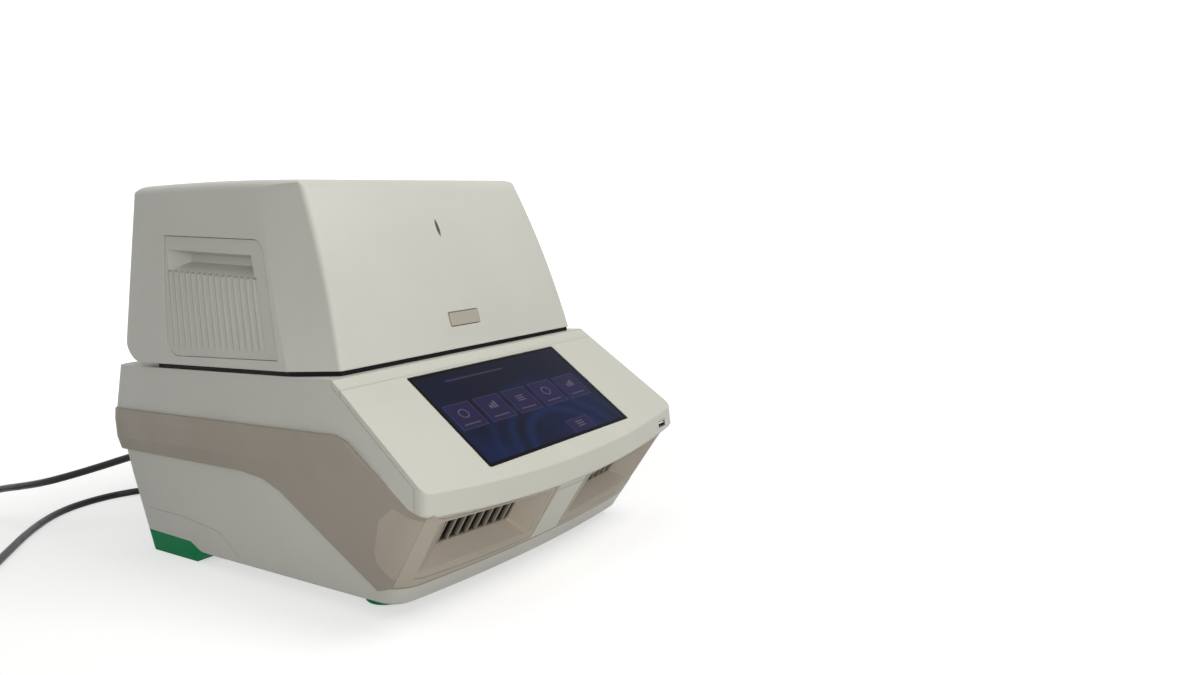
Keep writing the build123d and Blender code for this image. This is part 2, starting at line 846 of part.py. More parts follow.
with BuildPart() as usb_pair:
    add(rear_block(usb_pair_x, usb_pair_z, 14.6, 16.6, 200, panel_y + 0.8, 0.5))
    for rise in (-4, 4):
        add(rear_block(usb_pair_x, usb_pair_z + rise, 12.6, 5.4, 203, panel_y + 5, 0.3), mode=Mode.SUBTRACT)
        add(rear_block(usb_pair_x, usb_pair_z + rise + 1, 11, 1.8, 202, panel_y, 0.3))
save(usb_pair.part, "usb_pair")


# Lid: the outer form and the space inside it
lid_overlap = 0.1
lid_front_middle = Vector(556.151, 60.569)
lid_front_radius = 680.567


def lid_side_x(z, inset):
    """Half width of the drafted side wall at a height z."""
    lean = radians(lid_draft)
    return lid_half_width - (z - lid_bottom) * tan(lean) - inset / cos(lean)


def lid_front_curve():
    """The lid's front from the seam up to the top, in the (y, z) plane."""
    return ThreePointArc((lid_front_y, lid_bottom), (-93.3, 264), (-63.5, 342))


def lid_top_z(y):
    """Height of the crowned top at a depth y."""
    return 350.5 + 0.0552 * (y - 60) - 0.00011 * (y - 60) ** 2


def lid_front_depth(z):
    """Y of the lid's front at a height z, on the same arc as lid_front_curve."""
    return lid_front_middle.X - sqrt(lid_front_radius**2 - (z - lid_front_middle.Y) ** 2)


def lid_plan(z, inset, rear_y):
    """Plan of the lid at a height z, inside its side walls and facets, cut off straight at rear_y."""
    share = (z - 175) / 190
    crease = Vector(144 - 18.8 * share, lid_front_depth(z))
    side = Vector(160.3 - 33.9 * share, 75 * share - 69.1)
    with BuildSketch() as plan:
        with BuildLine():
            half = [(side.X, rear_y + inset), (side.X, side.Y), (crease.X, crease.Y)]
            Polyline(*half, *[(-x, y) for x, y in reversed(half)], close=True)
        make_face()
        offset(amount=-inset, kind=Kind.INTERSECTION)
    return plan.sketch


def lid_form(inset):
    """Outer form of the lid, or the space inside its wall, which is open below."""
    with BuildPart() as profile:
        with BuildSketch(Plane.YZ):
            with BuildLine():
                corner = CenterArc((hinge_y, hinge_z), lid_corner, 278, 82)
                base = Line(corner @ 0, (lid_front_y, lid_bottom))
                front = lid_front_curve()
                lift = lid_overlap
                top = ThreePointArc(front @ 1, (60, lid_top_z(60) + lift), (197, lid_top_z(197) + lift))
                ThreePointArc(top @ 1, (lid_rear_y, 290), corner @ 1)
            make_face()
            fillet([v for v in vertices() if v.X > 190 and v.Y > 350], 20)
            fillet([v for v in vertices() if v.X < 0 and v.Y > 330], 18)
            if inset:
                offset(amount=-inset)
                with BuildLine():
                    top_z = lid_bottom + inset + 1
                    inner_y = lid_front_y + 1.03 * inset
                    foot_z = 180
                    back = [(hinge_y, foot_z), (hinge_y, top_z)]
                    Polyline(*back, (inner_y + 0.6, top_z), (inner_y - 1.7, foot_z), close=True)
                make_face()
        extrude(amount=lid_half_width + 10, both=True)
    with BuildPart() as crown:
        for y in (-140, -60, 60, 150, 230):
            with BuildSketch(Plane.XZ.offset(-y)):
                with BuildLine():
                    top_z = lid_top_z(y) - inset
                    low_x = lid_side_x(170, inset)
                    high_x = lid_side_x(top_z, inset)
                    Polyline((-low_x, 170), (low_x, 170), (high_x, top_z), (-high_x, top_z), close=True)
                make_face()
                fillet(vertices().group_by(Axis.Y)[-1], lid_round - inset)
        loft()
    with BuildPart() as plan:
        for z in (170, 220, 270, 320, 370):
            with BuildSketch(Plane.XY.offset(z)):
                add(lid_plan(z, inset - lid_overlap, lid_rear_y - inset + lid_overlap))
                fillet(vertices().group_by(Axis.Y)[-1], lid_rear_round - inset)
                fillet([v for v in vertices() if v.Y < 30], lid_crease - inset)
        loft()
    return profile.part & crown.part & plan.part


lid_solid = lid_form(0)
lid_space = lid_form(lid_wall)
lean = radians(lid_draft)
side_plane = Plane(
    origin=(lid_half_width, 0, lid_bottom), x_dir=(0, 1, 0), z_dir=(cos(lean), 0, sin(lean))
)


def up_wall(z):
    """Distance up the drafted side wall for a height z."""
    return (z - lid_bottom) / cos(lean)


def grip_outline(grow):
    """Outline of the side grip panel on the drafted wall, as a face in side_plane."""
    with BuildSketch() as panel:
        with BuildLine():
            Polyline(
                (135.5, up_wall(307)),
                (-18.2, up_wall(296.2)),
                (-49, up_wall(199.4)),
                (117, up_wall(199.4)),
                (128.7, up_wall(257)),
                close=True,
            )
        make_face()
        fillet([v for v in vertices() if -30 < v.X < 0], 17)
        fillet([v for v in vertices() if 110 < v.X < 120], 22)
        if grow:
            offset(amount=grow, kind=Kind.INTERSECTION)
    return panel.sketch


# Grip panel: a plate set into the side wall, with a finger recess over a fluted field
panel_inset = 0.9
panel_plate = 2.6
recess_depth = 15.0
flute_count = 15
flute_pitch = 9.5
flute_radius = 5.2
flute_depth = 1.3


def recess_form(grow):
    """Finger recess under the ledge of the grip panel, deepest along its top."""
    mouth = [(130.5, 294.5), (-3.9, 284.5), (-11.6, 263), (125.9, 273.3)]
    floor = [(112, 291.6), (-4.2, 283.2), (-6.5, 276), (112, 284.5)]
    with BuildPart() as shape:
        for depth, corners in ((0.5, mouth), (-recess_depth, floor)):
            with BuildSketch(side_plane.offset(depth - (grow if depth < 0 else 1.4 * bool(grow)))):
                with BuildLine():
                    Polyline(*[(y, up_wall(z)) for y, z in corners], close=True)
                make_face()
                if grow:
                    offset(amount=grow, kind=Kind.INTERSECTION)
        loft(ruled=True)
    return shape.part


with BuildPart() as grip_panel:
    with BuildSketch(side_plane.offset(-panel_inset)):
        add(grip_outline(0))
    extrude(amount=-panel_plate)
    add(recess_form(2.2))
    add(recess_form(0), mode=Mode.SUBTRACT)
    for index in range(flute_count):
        top_y = 123.0 - flute_pitch * index
        top = Vector(top_y, up_wall(266 + 0.075 * top_y), flute_radius - panel_inset - flute_depth)
        foot = Vector(top_y - 20.5, up_wall(204.5), flute_radius - panel_inset - 0.5)
        start = side_plane.from_local_coords(top)
        end = side_plane.from_local_coords(foot)
        with BuildSketch(Plane(origin=start, z_dir=end - start)):
            Circle(flute_radius)
        extrude(amount=(end - start).length, mode=Mode.SUBTRACT)
save_pair(grip_panel.part, "grip_panel")

# Lid button and status light sit on the curved front
button_z = 216.5
status_z = 298.0
button_width = 36.0
button_height = 12.0


def front_plane(z):
    """A plane on the lid's front at a height z, facing outwards."""
    with BuildLine(mode=Mode.PRIVATE):
        curve = lid_front_curve()
    share = min((i / 400 for i in range(401)), key=lambda t: abs((curve @ t).Y - z))
    point = curve @ share
    run = curve % share
    return Plane(origin=(0, point.X, point.Y), x_dir=(1, 0, 0), z_dir=(0, -run.Y, run.X))


button_plane = front_plane(button_z)
status_plane = front_plane(status_z)


def marquise(grow):
    """Pointed oval of the status light."""
    tip = 9.0 + grow
    belly = 1.7 + grow
    with BuildSketch() as shape:
        with BuildLine():
            ThreePointArc((0, -tip), (belly, 0), (0, tip))
            ThreePointArc((0, tip), (-belly, 0), (0, -tip))
        make_face()
    return shape.sketch


bracket_x = 112.0
bracket_thickness = 8.0
with BuildPart() as lid_shell:
    add(lid_solid)
    add(lid_space, mode=Mode.SUBTRACT)
    with BuildPart(mode=Mode.PRIVATE) as window:
        with BuildSketch(side_plane.offset(5)):
            add(grip_outline(0.4))
        extrude(amount=-20)
    add(window.part, mode=Mode.SUBTRACT)
    add(mirror(window.part, about=Plane.YZ), mode=Mode.SUBTRACT)
    with BuildSketch(button_plane.offset(5)):
        RectangleRounded(button_width + 1.4, button_height + 1.4, 1.8)
    extrude(amount=-20, mode=Mode.SUBTRACT)
    with BuildSketch(status_plane.offset(5)):
        add(marquise(0.15))
    extrude(amount=-20, mode=Mode.SUBTRACT)
    with BuildSketch(Plane.XY.offset(180)):
        with Locations((bracket_x, hinge_y + 20), (-bracket_x, hinge_y + 20)):
            Rectangle(bracket_thickness + 2.4, 60)
    extrude(amount=38, mode=Mode.SUBTRACT)
save(lid_shell.part, "lid_shell")
with BuildPart() as lid_button:
    with BuildSketch(button_plane.offset(0.3)):
        RectangleRounded(button_width, button_height, 1.5)
    extrude(amount=-7.5)
    with BuildSketch(button_plane.offset(-7)):
        Circle(2)
    extrude(amount=-7)
save(lid_button.part, "lid_button")
flange_gap = 0.35
with BuildPart() as status_light:
    with BuildSketch(status_plane.offset(-lid_wall - flange_gap)):
        add(marquise(0))
    extrude(amount=lid_wall - 0.1)
    with BuildSketch(status_plane.offset(-lid_wall - flange_gap)):
        RectangleRounded(10, 24, 2)
    extrude(amount=-2)
save(status_light.part, "status_light")

# Hinges: brackets on the deck, pins, and arms that carry the lid's frame
pin_radius = 5.0
pin_clearance = 0.05
arm_inner_x = 99.0
arm_outer_x = 107.6
frame_z = 216.0
frame_thickness = 5.0
frame_rear_y = 98.0
with BuildPart() as hinge_bracket:
    with BuildSketch(Plane.XY.offset(deck_z)):
        with Locations((bracket_x, hinge_y)):
            RectangleRounded(24, 28, 3)
    extrude(amount=3)
    with BuildSketch(Plane.YZ.offset(bracket_x - bracket_thickness / 2)):
        with BuildLine():
            Polyline(
                (hinge_y - 12, deck_z + 3),
                (hinge_y + 12, deck_z + 3),
                (hinge_y + 10, hinge_z),
                (hinge_y - 10, hinge_z),
                close=True,
            )
        make_face()
        with Locations((hinge_y, hinge_z)):
            Circle(10.2)
    extrude(amount=bracket_thickness)
    with BuildSketch(Plane.YZ.offset(arm_inner_x - 9)):
        with Locations((hinge_y, hinge_z)):
            Circle(pin_radius)
    extrude(amount=bracket_x + bracket_thickness / 2 + 1.5 - arm_inner_x + 9)
save_pair(hinge_bracket.part, "hinge_bracket")
frame_top_z = frame_z + frame_thickness
with BuildPart() as hinge_arm:
    with BuildSketch(Plane.YZ.offset(arm_inner_x)):
        with Locations((hinge_y, hinge_z)):
            Circle(12)
        with BuildLine():
            Polyline(
                (30, frame_top_z),
                (frame_rear_y, frame_top_z),
                (hinge_y, hinge_z - 12),
                (hinge_y, hinge_z + 12),
                (55, 243),
                (30, frame_top_z + 8),
                close=True,
            )
        make_face()
        with Locations((hinge_y, hinge_z)):
            Circle(pin_radius + pin_clearance, mode=Mode.SUBTRACT)
    extrude(amount=arm_outer_x - arm_inner_x)
save_pair(hinge_arm.part, "hinge_arm")

# Light seal on the deck under the lid's rim
with BuildPart() as light_seal:
    with BuildSketch(Plane.XY.offset(deck_z)):
        add(lid_plan(lid_bottom, 2.2, 135))
        add(lid_plan(lid_bottom, 4.8, 145), mode=Mode.SUBTRACT)
    extrude(amount=3.5)
save(light_seal.part, "light_seal")

# Lid structure: a pan round the heated plate and a frame above it
plate_width = 140.0
plate_depth = 98.0
plate_low_z = 200.0
plate_thickness = 8.0
press_pin_radius = 2.5
press_xs = (-63.0, 63.0)
press_ys = (block_y - 43.0, block_y + 43.0)
press_places = [(x, y) for x in press_xs for y in press_ys]
pan_low = 196.0
pan_thickness = 2.5
post_places = [(-100, -72), (100, -72), (-90, 88), (90, 88)]
with BuildPart() as lid_inner_pan:
    with BuildSketch(Plane.XY.offset(pan_low)):
        add(lid_plan(pan_low, lid_wall + 0.3, frame_rear_y))
        fillet(vertices(), 8)
    extrude(amount=pan_thickness, taper=lid_draft)
    with BuildSketch(Plane.XY.offset(pan_low - 5)):
        with Locations((0, block_y)):
            RectangleRounded(plate_width + 6, plate_depth + 6, 6)
    extrude(amount=20, mode=Mode.SUBTRACT)
save(lid_inner_pan.part, "lid_inner_pan")
with BuildPart() as lid_frame:
    with BuildSketch(Plane.XY.offset(frame_z)):
        with Locations((0, (frame_rear_y - 85) / 2)):
            RectangleRounded(216, frame_rear_y + 85, 6)
        with Locations((0, block_y)):
            RectangleRounded(114, 78, 4, mode=Mode.SUBTRACT)
    extrude(amount=frame_thickness)
    with BuildSketch(Plane.XY.offset(pan_low + pan_thickness)):
        with Locations(post_places):
            Circle(5)
    extrude(amount=frame_z - pan_low - pan_thickness)
    with BuildSketch(Plane.XY.offset(plate_low_z - 3)):
        with Locations(press_places):
            Circle(press_pin_radius + 2)
    extrude(amount=3)
    with BuildSketch(Plane.XY.offset(plate_low_z)):
        with Locations(press_places):
            Circle(press_pin_radius)
    extrude(amount=frame_z - plate_low_z)
save(lid_frame.part, "lid_frame")
with BuildPart() as heated_plate:
    with BuildSketch(Plane.XY.offset(plate_low_z)):
        with Locations((0, block_y)):
            RectangleRounded(plate_width, plate_depth, 4)
            with GridLocations(well_pitch, well_pitch, well_columns, well_rows):
                RegularPolygon(1.8, 8, mode=Mode.SUBTRACT)
        with Locations(press_places):
            Circle(press_pin_radius + pin_clearance, mode=Mode.SUBTRACT)
    extrude(amount=plate_thickness)
    chamfer(edges().filter_by(lambda e: e.length > 80 and abs(e.center().Z - plate_low_z) < 0.1), 1)
save(heated_plate.part, "heated_plate")

# Scanning optics: a carriage on two guide rods, and a shuttle with the lenses on its rail
rod_x = 76.0
rod_z = 238.0
rod_radius = 4.0
mount_front_y = -80.0
mount_rear_y = 88.0
mount_thickness = 8.0
carriage_y = -26.5
carriage_depth = 26.0
rail_z = 258.0
shuttle_x = -49.5
shuttle_width = 30.0
slide_gap = 0.05
rod_places = [(-rod_x, rod_z), (rod_x, rod_z)]
with BuildPart() as guide_rails:
    for near_y in (mount_front_y, mount_rear_y - mount_thickness):
        with BuildSketch(Plane.XZ.offset(-near_y)):
            with Locations((0, frame_top_z + 5)):
                Rectangle(2 * rod_x + 22, 10)
            with Locations((-rod_x, frame_top_z + 13), (rod_x, frame_top_z + 13)):
                Rectangle(22, 26)
        extrude(amount=-mount_thickness)
    with BuildSketch(Plane.XZ.offset(-mount_front_y)):
        with Locations(rod_places):
            Circle(rod_radius)
    extrude(amount=mount_front_y - mount_rear_y)
save(guide_rails.part, "guide_rails")
with BuildPart() as cross_carriage:
    for place_x in (-rod_x, rod_x):
        with BuildSketch(Plane.XZ.offset(-carriage_y + carriage_depth / 2)):
            with Locations((place_x, (rod_z + rail_z) / 2)):
                Rectangle(18, rail_z - rod_z + 17)
            with Locations((place_x, rod_z)):
                Circle(rod_radius + slide_gap, mode=Mode.SUBTRACT)
        extrude(amount=-carriage_depth)
    with BuildSketch(Plane.YZ.offset(-rod_x)):
        with Locations((carriage_y - 7, rail_z), (carriage_y + 7, rail_z)):
            Circle(3)
    extrude(amount=2 * rod_x)
save(cross_carriage.part, "cross_carriage")
with BuildPart() as lens_shuttle:
    with BuildSketch(Plane.YZ.offset(shuttle_x - shuttle_width / 2)):
        with Locations((carriage_y, rail_z)):
            Rectangle(carriage_depth + 4, 24)
        with Locations((carriage_y - 7, rail_z), (carriage_y + 7, rail_z)):
            Circle(3 + slide_gap, mode=Mode.SUBTRACT)
    extrude(amount=shuttle_width)
    for bore, depth, mode in ((3.8, 8, Mode.ADD), (2.6, 5, Mode.SUBTRACT)):
        with BuildSketch(Plane.XY.offset(rail_z - 20)):
            with Locations((shuttle_x, carriage_y)):
                with GridLocations(9, 1, 3, 1):
                    Circle(bore)
        extrude(amount=depth, mode=mode)
save(lens_shuttle.part, "lens_shuttle")

# Lid drive: a toothed sector fixed to the right arm, and a motor on the deck
gear_module = 1.5
sector_teeth = 40
pinion_teeth = 12
gear_low_x = 91.0
gear_face = 7.8
pressure = radians(20)
tooth_slack = 0.25
pinion_y = hinge_y - gear_module * (sector_teeth + pinion_teeth) / 2


def involute(angle):
    """Involute function of an angle."""
    return tan(angle) - angle


def tooth_points(teeth, centre_y, middle):
    """Outline of one tooth round a centre, root to root, in the direction of growing angle."""
    pitch_radius = gear_module * teeth / 2
    base_radius = pitch_radius * cos(pressure)
    root = pitch_radius - 1.25 * gear_module
    tip = pitch_radius + 0.8 * gear_module
    half = pi / (2 * teeth) - tooth_slack / (2 * pitch_radius) + involute(pressure)
    flank = []
    for step in range(5):
        radius = root + (tip - root) * step / 4
        roll = acos(min(1.0, base_radius / radius))
        flank.append((radius, half - involute(roll)))
    turns = [(r, middle - a) for r, a in flank] + [(r, middle + a) for r, a in reversed(flank)]
    return [(centre_y + r * cos(turn), hinge_z + r * sin(turn)) for r, turn in turns]


sector_tooth_range = range(18, 28)
with BuildPart() as sector_gear:
    with BuildSketch(Plane.YZ.offset(gear_low_x)):
        with BuildLine():
            points = []
            for tooth in sector_tooth_range:
                points += tooth_points(sector_teeth, hinge_y, tooth * 2 * pi / sector_teeth)
            Polyline((hinge_y, hinge_z), *points, close=True)
        make_face()
        with Locations((hinge_y, hinge_z)):
            Circle(11)
            Circle(pin_radius + pin_clearance, mode=Mode.SUBTRACT)
    extrude(amount=gear_face)
save(sector_gear.part, "sector_gear")
with BuildPart() as drive_pinion:
    with BuildSketch(Plane.YZ.offset(gear_low_x)):
        with BuildLine():
            points = []
            for tooth in range(pinion_teeth):
                points += tooth_points(pinion_teeth, pinion_y, (tooth + 0.5) * 2 * pi / pinion_teeth)
            Polyline(*points, close=True)
        make_face()
    extrude(amount=gear_face)
    with BuildSketch(Plane.YZ.offset(gear_low_x - 13)):
        with Locations((pinion_y, hinge_z)):
            Circle(2.5)
    extrude(amount=13)
save(drive_pinion.part, "drive_pinion")
motor_radius = 16.0
bracket_plate_x = 86.0
with BuildPart() as lid_motor:
    with BuildSketch(Plane.YZ.offset(bracket_plate_x - 28)):
        with Locations((pinion_y, hinge_z)):
            Circle(motor_radius)
    extrude(amount=28)
    with BuildSketch(Plane.YZ.offset(bracket_plate_x - 9)):
        with Locations((pinion_y, hinge_z)):
            Circle(2.5 + pin_clearance)
    extrude(amount=9, mode=Mode.SUBTRACT)
save(lid_motor.part, "lid_motor")
with BuildPart() as motor_bracket:
    with BuildSketch(Plane.YZ.offset(bracket_plate_x)):
        with BuildLine():
            Polyline(
                (pinion_y - 9, deck_z),
                (pinion_y + 9, deck_z),
                (pinion_y + 9, hinge_z),
                (pinion_y - 9, hinge_z),
                close=True,
            )
        make_face()
        with Locations((pinion_y, hinge_z)):
            Circle(14)
            Circle(3.5, mode=Mode.SUBTRACT)
    extrude(amount=3)
    with BuildSketch(Plane.XY.offset(deck_z)):
        with Locations((bracket_plate_x - 10, pinion_y)):
            RectangleRounded(26, 24, 3)
    extrude(amount=3)
save(motor_bracket.part, "motor_bracket")

# Cords: a mains lead and a data cable, each a tube along the free stretch and a coil with a plug
cord_radius = 4.0
turn_radii = (52.0, 44.0, 36.0)
lead_route = [
    (-100, 276, 78),
    (-100, 297, 78),
    (-109, 319, 72),
    (-127, 345, 64),
    (-146, 369, 57),
    (-163, 398, 50),
    (-171, 435, 44),
    (-176, 480, 37),
    (-187, 525, 27),
    (-210, 562, 15),
    (-248, 587, 5.5),
    (-286, 590, 4),
]
cable_route = [
    (-30, 262, 46),
    (-30, 290, 46),
    (-27, 328, 33),
    (-25, 368, 18),
    (-28, 405, 7),
    (-45, 436, 4.2),
    (-83, 450, 4),
    (-133, 439, 4),
    (-184, 391, 4),
    (-244, 311, 4),
    (-276, 268, 4),
]


def cord_tube(route, name):
    """A round tube along straight runs joined by the largest arcs that the runs allow."""
    points = [Vector(*p) for p in route]
    runs = [b - a for a, b in zip(points, points[1:])]
    radii = []
    for before, after in zip(runs, runs[1:]):
        half_turn = radians(before.get_angle(after)) / 2
        radii.append(0.45 * min(before.length, after.length) / tan(half_turn))
    print(name, "runs", [round(r.length) for r in runs], "radii", [round(r) for r in radii])
    with BuildPart() as tube:
        with BuildLine() as path:
            FilletPolyline(*points, radius=radii)
        with BuildSketch(Plane(origin=points[0], z_dir=runs[0])):
            Circle(cord_radius)
        sweep()
    length = sum(edge.length for edge in path.edges())
    share = tube.part.volume / (pi * cord_radius**2 * length)
    print(name, "length", round(length), "volume share", round(share, 4))
    return tube.part


def coil_form(centre):
    """Outer form of three turns side by side with two turns lying in the grooves above."""
    section = [(33.5, 0), (54.5, 0), (56, 4), (54.5, 7.5), (51.5, 14), (48, 15)]
    section += [(40, 15), (36.5, 14), (33.5, 7.5), (32, 4)]
    with BuildPart() as coil:
        with BuildSketch(Plane.XZ.offset(-centre[1])):
            with BuildLine():
                Polyline(*[(centre[0] + r, z) for r, z in section], close=True)
            make_face()
        revolve(axis=Axis((centre[0], centre[1], 0), (0, 0, 1)))
    return coil.part


def coil_centre(route, side):
    """Centre of the coil that the last run of a route meets at a tangent, on one side."""
    last = Vector(*route[-1])
    run = (last - Vector(*route[-2])).normalized()
    run = Vector(run.X, run.Y, 0).normalized()
    middle = last + Vector(-run.Y, run.X, 0) * side * turn_radii[0]
    return (middle.X, middle.Y)


def plug_plane(centre, side, angle, height, dip=0.0):
    """A plane where a cord leaves its coil at a tangent: z_dir runs out to the plug."""
    out = Vector(cos(radians(angle)), sin(radians(angle)), 0)
    ahead = Vector(-out.Y, out.X, 0) * side
    start = Vector(centre[0], centre[1], height) + out * 48
    sloped = ahead * cos(radians(dip)) - Vector(0, 0, sin(radians(dip)))
    return Plane(origin=start, x_dir=out, z_dir=sloped)


def tapered(plane, radius, far_radius, start, length):
    """A round tapered stretch along a plane's normal."""
    with BuildPart() as stretch:
        for place, size in ((start, radius), (start + length, far_radius)):
            with BuildSketch(plane.offset(place)):
                Circle(size)
        loft(ruled=True)
    return stretch.part


def plug_block(plane, width, height, start, length, radius):
    """A rounded block along a plane's normal."""
    with BuildPart() as block:
        with BuildSketch(plane.offset(start)):
            RectangleRounded(width, height, radius)
        extrude(amount=length)
    return block.part


lead_side = 1
lead_centre = coil_centre(lead_route, lead_side)
lead_leave_angle = 270.0
cable_side = -1
cable_centre = coil_centre(cable_route, cable_side)
cable_leave_angle = 150.0
inlet_plane = Plane(origin=(inlet_x, 0, inlet_z), x_dir=(-1, 0, 0), z_dir=(0, 1, 0))
data_plane = Plane(origin=(data_x, 0, data_z), x_dir=(-1, 0, 0), z_dir=(0, 1, 0))
inlet_face_y = panel_y + 4.5
data_face_y = panel_y + 1
with BuildPart() as mains_connector:
    add(plug_block(inlet_plane, 24.4, 16.4, 201, inlet_face_y - 201, 2.5))
    add(plug_block(inlet_plane, 27, 20, inlet_face_y, 31, 3))
    add(tapered(inlet_plane, 7.5, cord_radius + 0.5, inlet_face_y + 31, 276 - inlet_face_y - 31))
    for pin_x, pin_z in ((7, -2), (-7, -2), (0, 4)):
        slot_plane = inlet_plane.shift_origin(inlet_plane.from_local_coords((pin_x, pin_z, 0)))
        add(plug_block(slot_plane, 2.8, 4.8, 195, panel_y + 2 - 195, 0.3), mode=Mode.SUBTRACT)
save(mains_connector.part, "mains_connector")
with BuildPart() as data_plug:
    add(plug_block(data_plane, 8.4, 7.6, 202.5, data_face_y - 202.5, 0.5))
    add(plug_block(data_plane, 5.8, 3.4, 195, data_face_y - 195, 0.3), mode=Mode.SUBTRACT)
    add(plug_block(data_plane, 12.5, 11.5, data_face_y, 27, 2))
    add(tapered(data_plane, 5.5, cord_radius + 0.3, data_face_y + 27, 262 - data_face_y - 27))
save(data_plug.part, "data_plug")
lead_plug_plane = plug_plane(lead_centre, lead_side, lead_leave_angle, 12.0)
usb_plug_plane = plug_plane(cable_centre, cable_side, cable_leave_angle, 10.9, 4.0)
with BuildPart() as mains_plug:
    add(tapered(lead_plug_plane, cord_radius + 0.3, 7.5, 0, 42))
    add(plug_block(lead_plug_plane, 30, 23.4, 42, 32, 5))
    for pin_x in (-6.35, 6.35):
        blade_plane = lead_plug_plane.shift_origin(lead_plug_plane.from_local_coords((pin_x, 2, 0)))
        add(plug_block(blade_plane, 1.5, 6.3, 73, 16.5, 0.3))
    ground_plane = lead_plug_plane.shift_origin(lead_plug_plane.from_local_coords((0, -6, 0)))
    add(tapered(ground_plane, 2.4, 2.4, 73, 18.5))
save(mains_plug.part, "mains_plug")
with BuildPart() as usb_plug:
    add(tapered(usb_plug_plane, cord_radius + 0.2, 5, 0, 26))
    add(plug_block(usb_plug_plane, 16, 9, 26, 28, 2))
    add(plug_block(usb_plug_plane, 12, 4.5, 53, 15, 0.5))
save(usb_plug.part, "usb_plug")
for route, centre, plug, cord_name, coil_name in (
    (lead_route, lead_centre, mains_plug, "mains_lead", "mains_lead_coil"),
    (cable_route, cable_centre, usb_plug, "data_cable", "data_cable_coil"),
):
    tube = cord_tube(route, cord_name)
    save(tube, cord_name)
    with BuildPart() as coil:
        add(coil_form(centre))
        add(tube, mode=Mode.SUBTRACT)
        add(plug.part, mode=Mode.SUBTRACT)
    save(coil.part, coil_name)
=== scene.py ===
# %% [markdown]
# # Real-time PCR system
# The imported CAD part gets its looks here: moulded plastics, rubber feet, metals, a lit touch screen, and
# two cords on a white bench. Everything is in metres, +Z up, with the front towards -Y. Each step says
# what the real thing is, how it could be made in Blender, and why this way was chosen.

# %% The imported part
import math

import bmesh
import bpy
from mathutils import Matrix, Vector


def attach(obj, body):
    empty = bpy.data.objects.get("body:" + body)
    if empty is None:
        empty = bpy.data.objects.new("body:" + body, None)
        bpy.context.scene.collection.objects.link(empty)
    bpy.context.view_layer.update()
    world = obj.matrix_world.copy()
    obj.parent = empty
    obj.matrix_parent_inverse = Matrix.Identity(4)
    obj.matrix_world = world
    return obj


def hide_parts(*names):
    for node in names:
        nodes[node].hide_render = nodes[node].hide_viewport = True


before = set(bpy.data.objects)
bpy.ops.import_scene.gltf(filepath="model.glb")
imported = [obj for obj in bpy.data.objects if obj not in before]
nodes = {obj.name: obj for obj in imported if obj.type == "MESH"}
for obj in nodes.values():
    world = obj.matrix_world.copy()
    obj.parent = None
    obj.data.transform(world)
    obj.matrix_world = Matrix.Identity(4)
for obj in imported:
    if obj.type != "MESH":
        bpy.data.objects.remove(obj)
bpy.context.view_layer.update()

# %% [markdown]
# ## Colours
# The case is warm grey plastic with a cream bezel and a taupe band. The colours are linear, as shaders
# want them. They are written once here, so that pieces of one moulding colour stay alike.

# %% Colours
GREY = (0.60, 0.595, 0.545)
CREAM = (0.60, 0.595, 0.53)
TAUPE = (0.355, 0.315, 0.26)
CAP_TAUPE = (0.45, 0.39, 0.325)
BEIGE = (0.43, 0.40, 0.33)
GREEN = (0.002, 0.25, 0.09)
BLACK = (0.012, 0.012, 0.013)
CORD_BLACK = (0.010, 0.010, 0.011)
STEEL = (0.52, 0.52, 0.53)
ALUMINIUM = (0.64, 0.65, 0.66)


def scaled(colour, factor):
    """A colour made lighter or darker."""
    return tuple(min(1.0, part * factor) for part in colour)


print("case", GREY, "bezel", CREAM, "band", TAUPE)


# %% [markdown]
# ## Nodes from Python
# A material is a graph of nodes. It could be drawn by hand, but a graph written as sums is easier to read
# and to change. So one function adds any node, and a small class turns arithmetic into Math nodes.

# %% Adding a node
def connect(node, sockets):
    """Give each named or numbered input of a node its value, or a link."""
    for key, value in sockets.items():
        if isinstance(value, Wire):
            node.id_data.links.new(value.socket, node.inputs[key])
        else:
            node.inputs[key].default_value = value


def add_node(tree, kind, settings, sockets):
    """Add a node: its settings first, then its inputs."""
    node = tree.nodes.new(kind)
    for name, value in settings.items():
        setattr(node, name, value)
    connect(node, sockets)
    return node


# %% Values that take arithmetic
class Wire:
    """A value in a node graph; arithmetic on it adds Math nodes."""

    def __init__(self, socket):
        self.socket = socket

    def calc(self, operation, *values):
        """One Math node on some values."""
        settings = {"operation": operation}
        node = add_node(self.socket.id_data, "ShaderNodeMath", settings, dict(enumerate(values)))
        return Wire(node.outputs[0])

    def __add__(self, other):
        return self.calc("ADD", self, other)

    def __sub__(self, other):
        return self.calc("SUBTRACT", self, other)

    def __rsub__(self, other):
        return self.calc("SUBTRACT", other, self)

    def __mul__(self, other):
        return self.calc("MULTIPLY", self, other)

    def __truediv__(self, other):
        return self.calc("DIVIDE", self, other)

    def __abs__(self):
        return self.calc("ABSOLUTE", self)

    __radd__ = __add__
    __rmul__ = __mul__

    def root(self):
        """Square root."""
        return self.calc("SQRT", self)

    def fraction(self):
        """Part after the decimal point, which makes a pattern repeat."""
        return self.calc("FRACT", self)

    def at_least(self, other):
        """The greater of two values."""
        return self.calc("MAXIMUM", self, other)

    def at_most(self, other):
        """The lesser of two values."""
        return self.calc("MINIMUM", self, other)

    def ramp(self, low, high, start=0.0, end=1.0):
        """Smooth change from start to end as the value goes from low to high."""
        sockets = {"Value": self, "From Min": low, "From Max": high, "To Min": start, "To Max": end}
        settings = {"interpolation_type": "SMOOTHSTEP"}
        return Wire(add_node(self.socket.id_data, "ShaderNodeMapRange", settings, sockets).outputs["Result"])


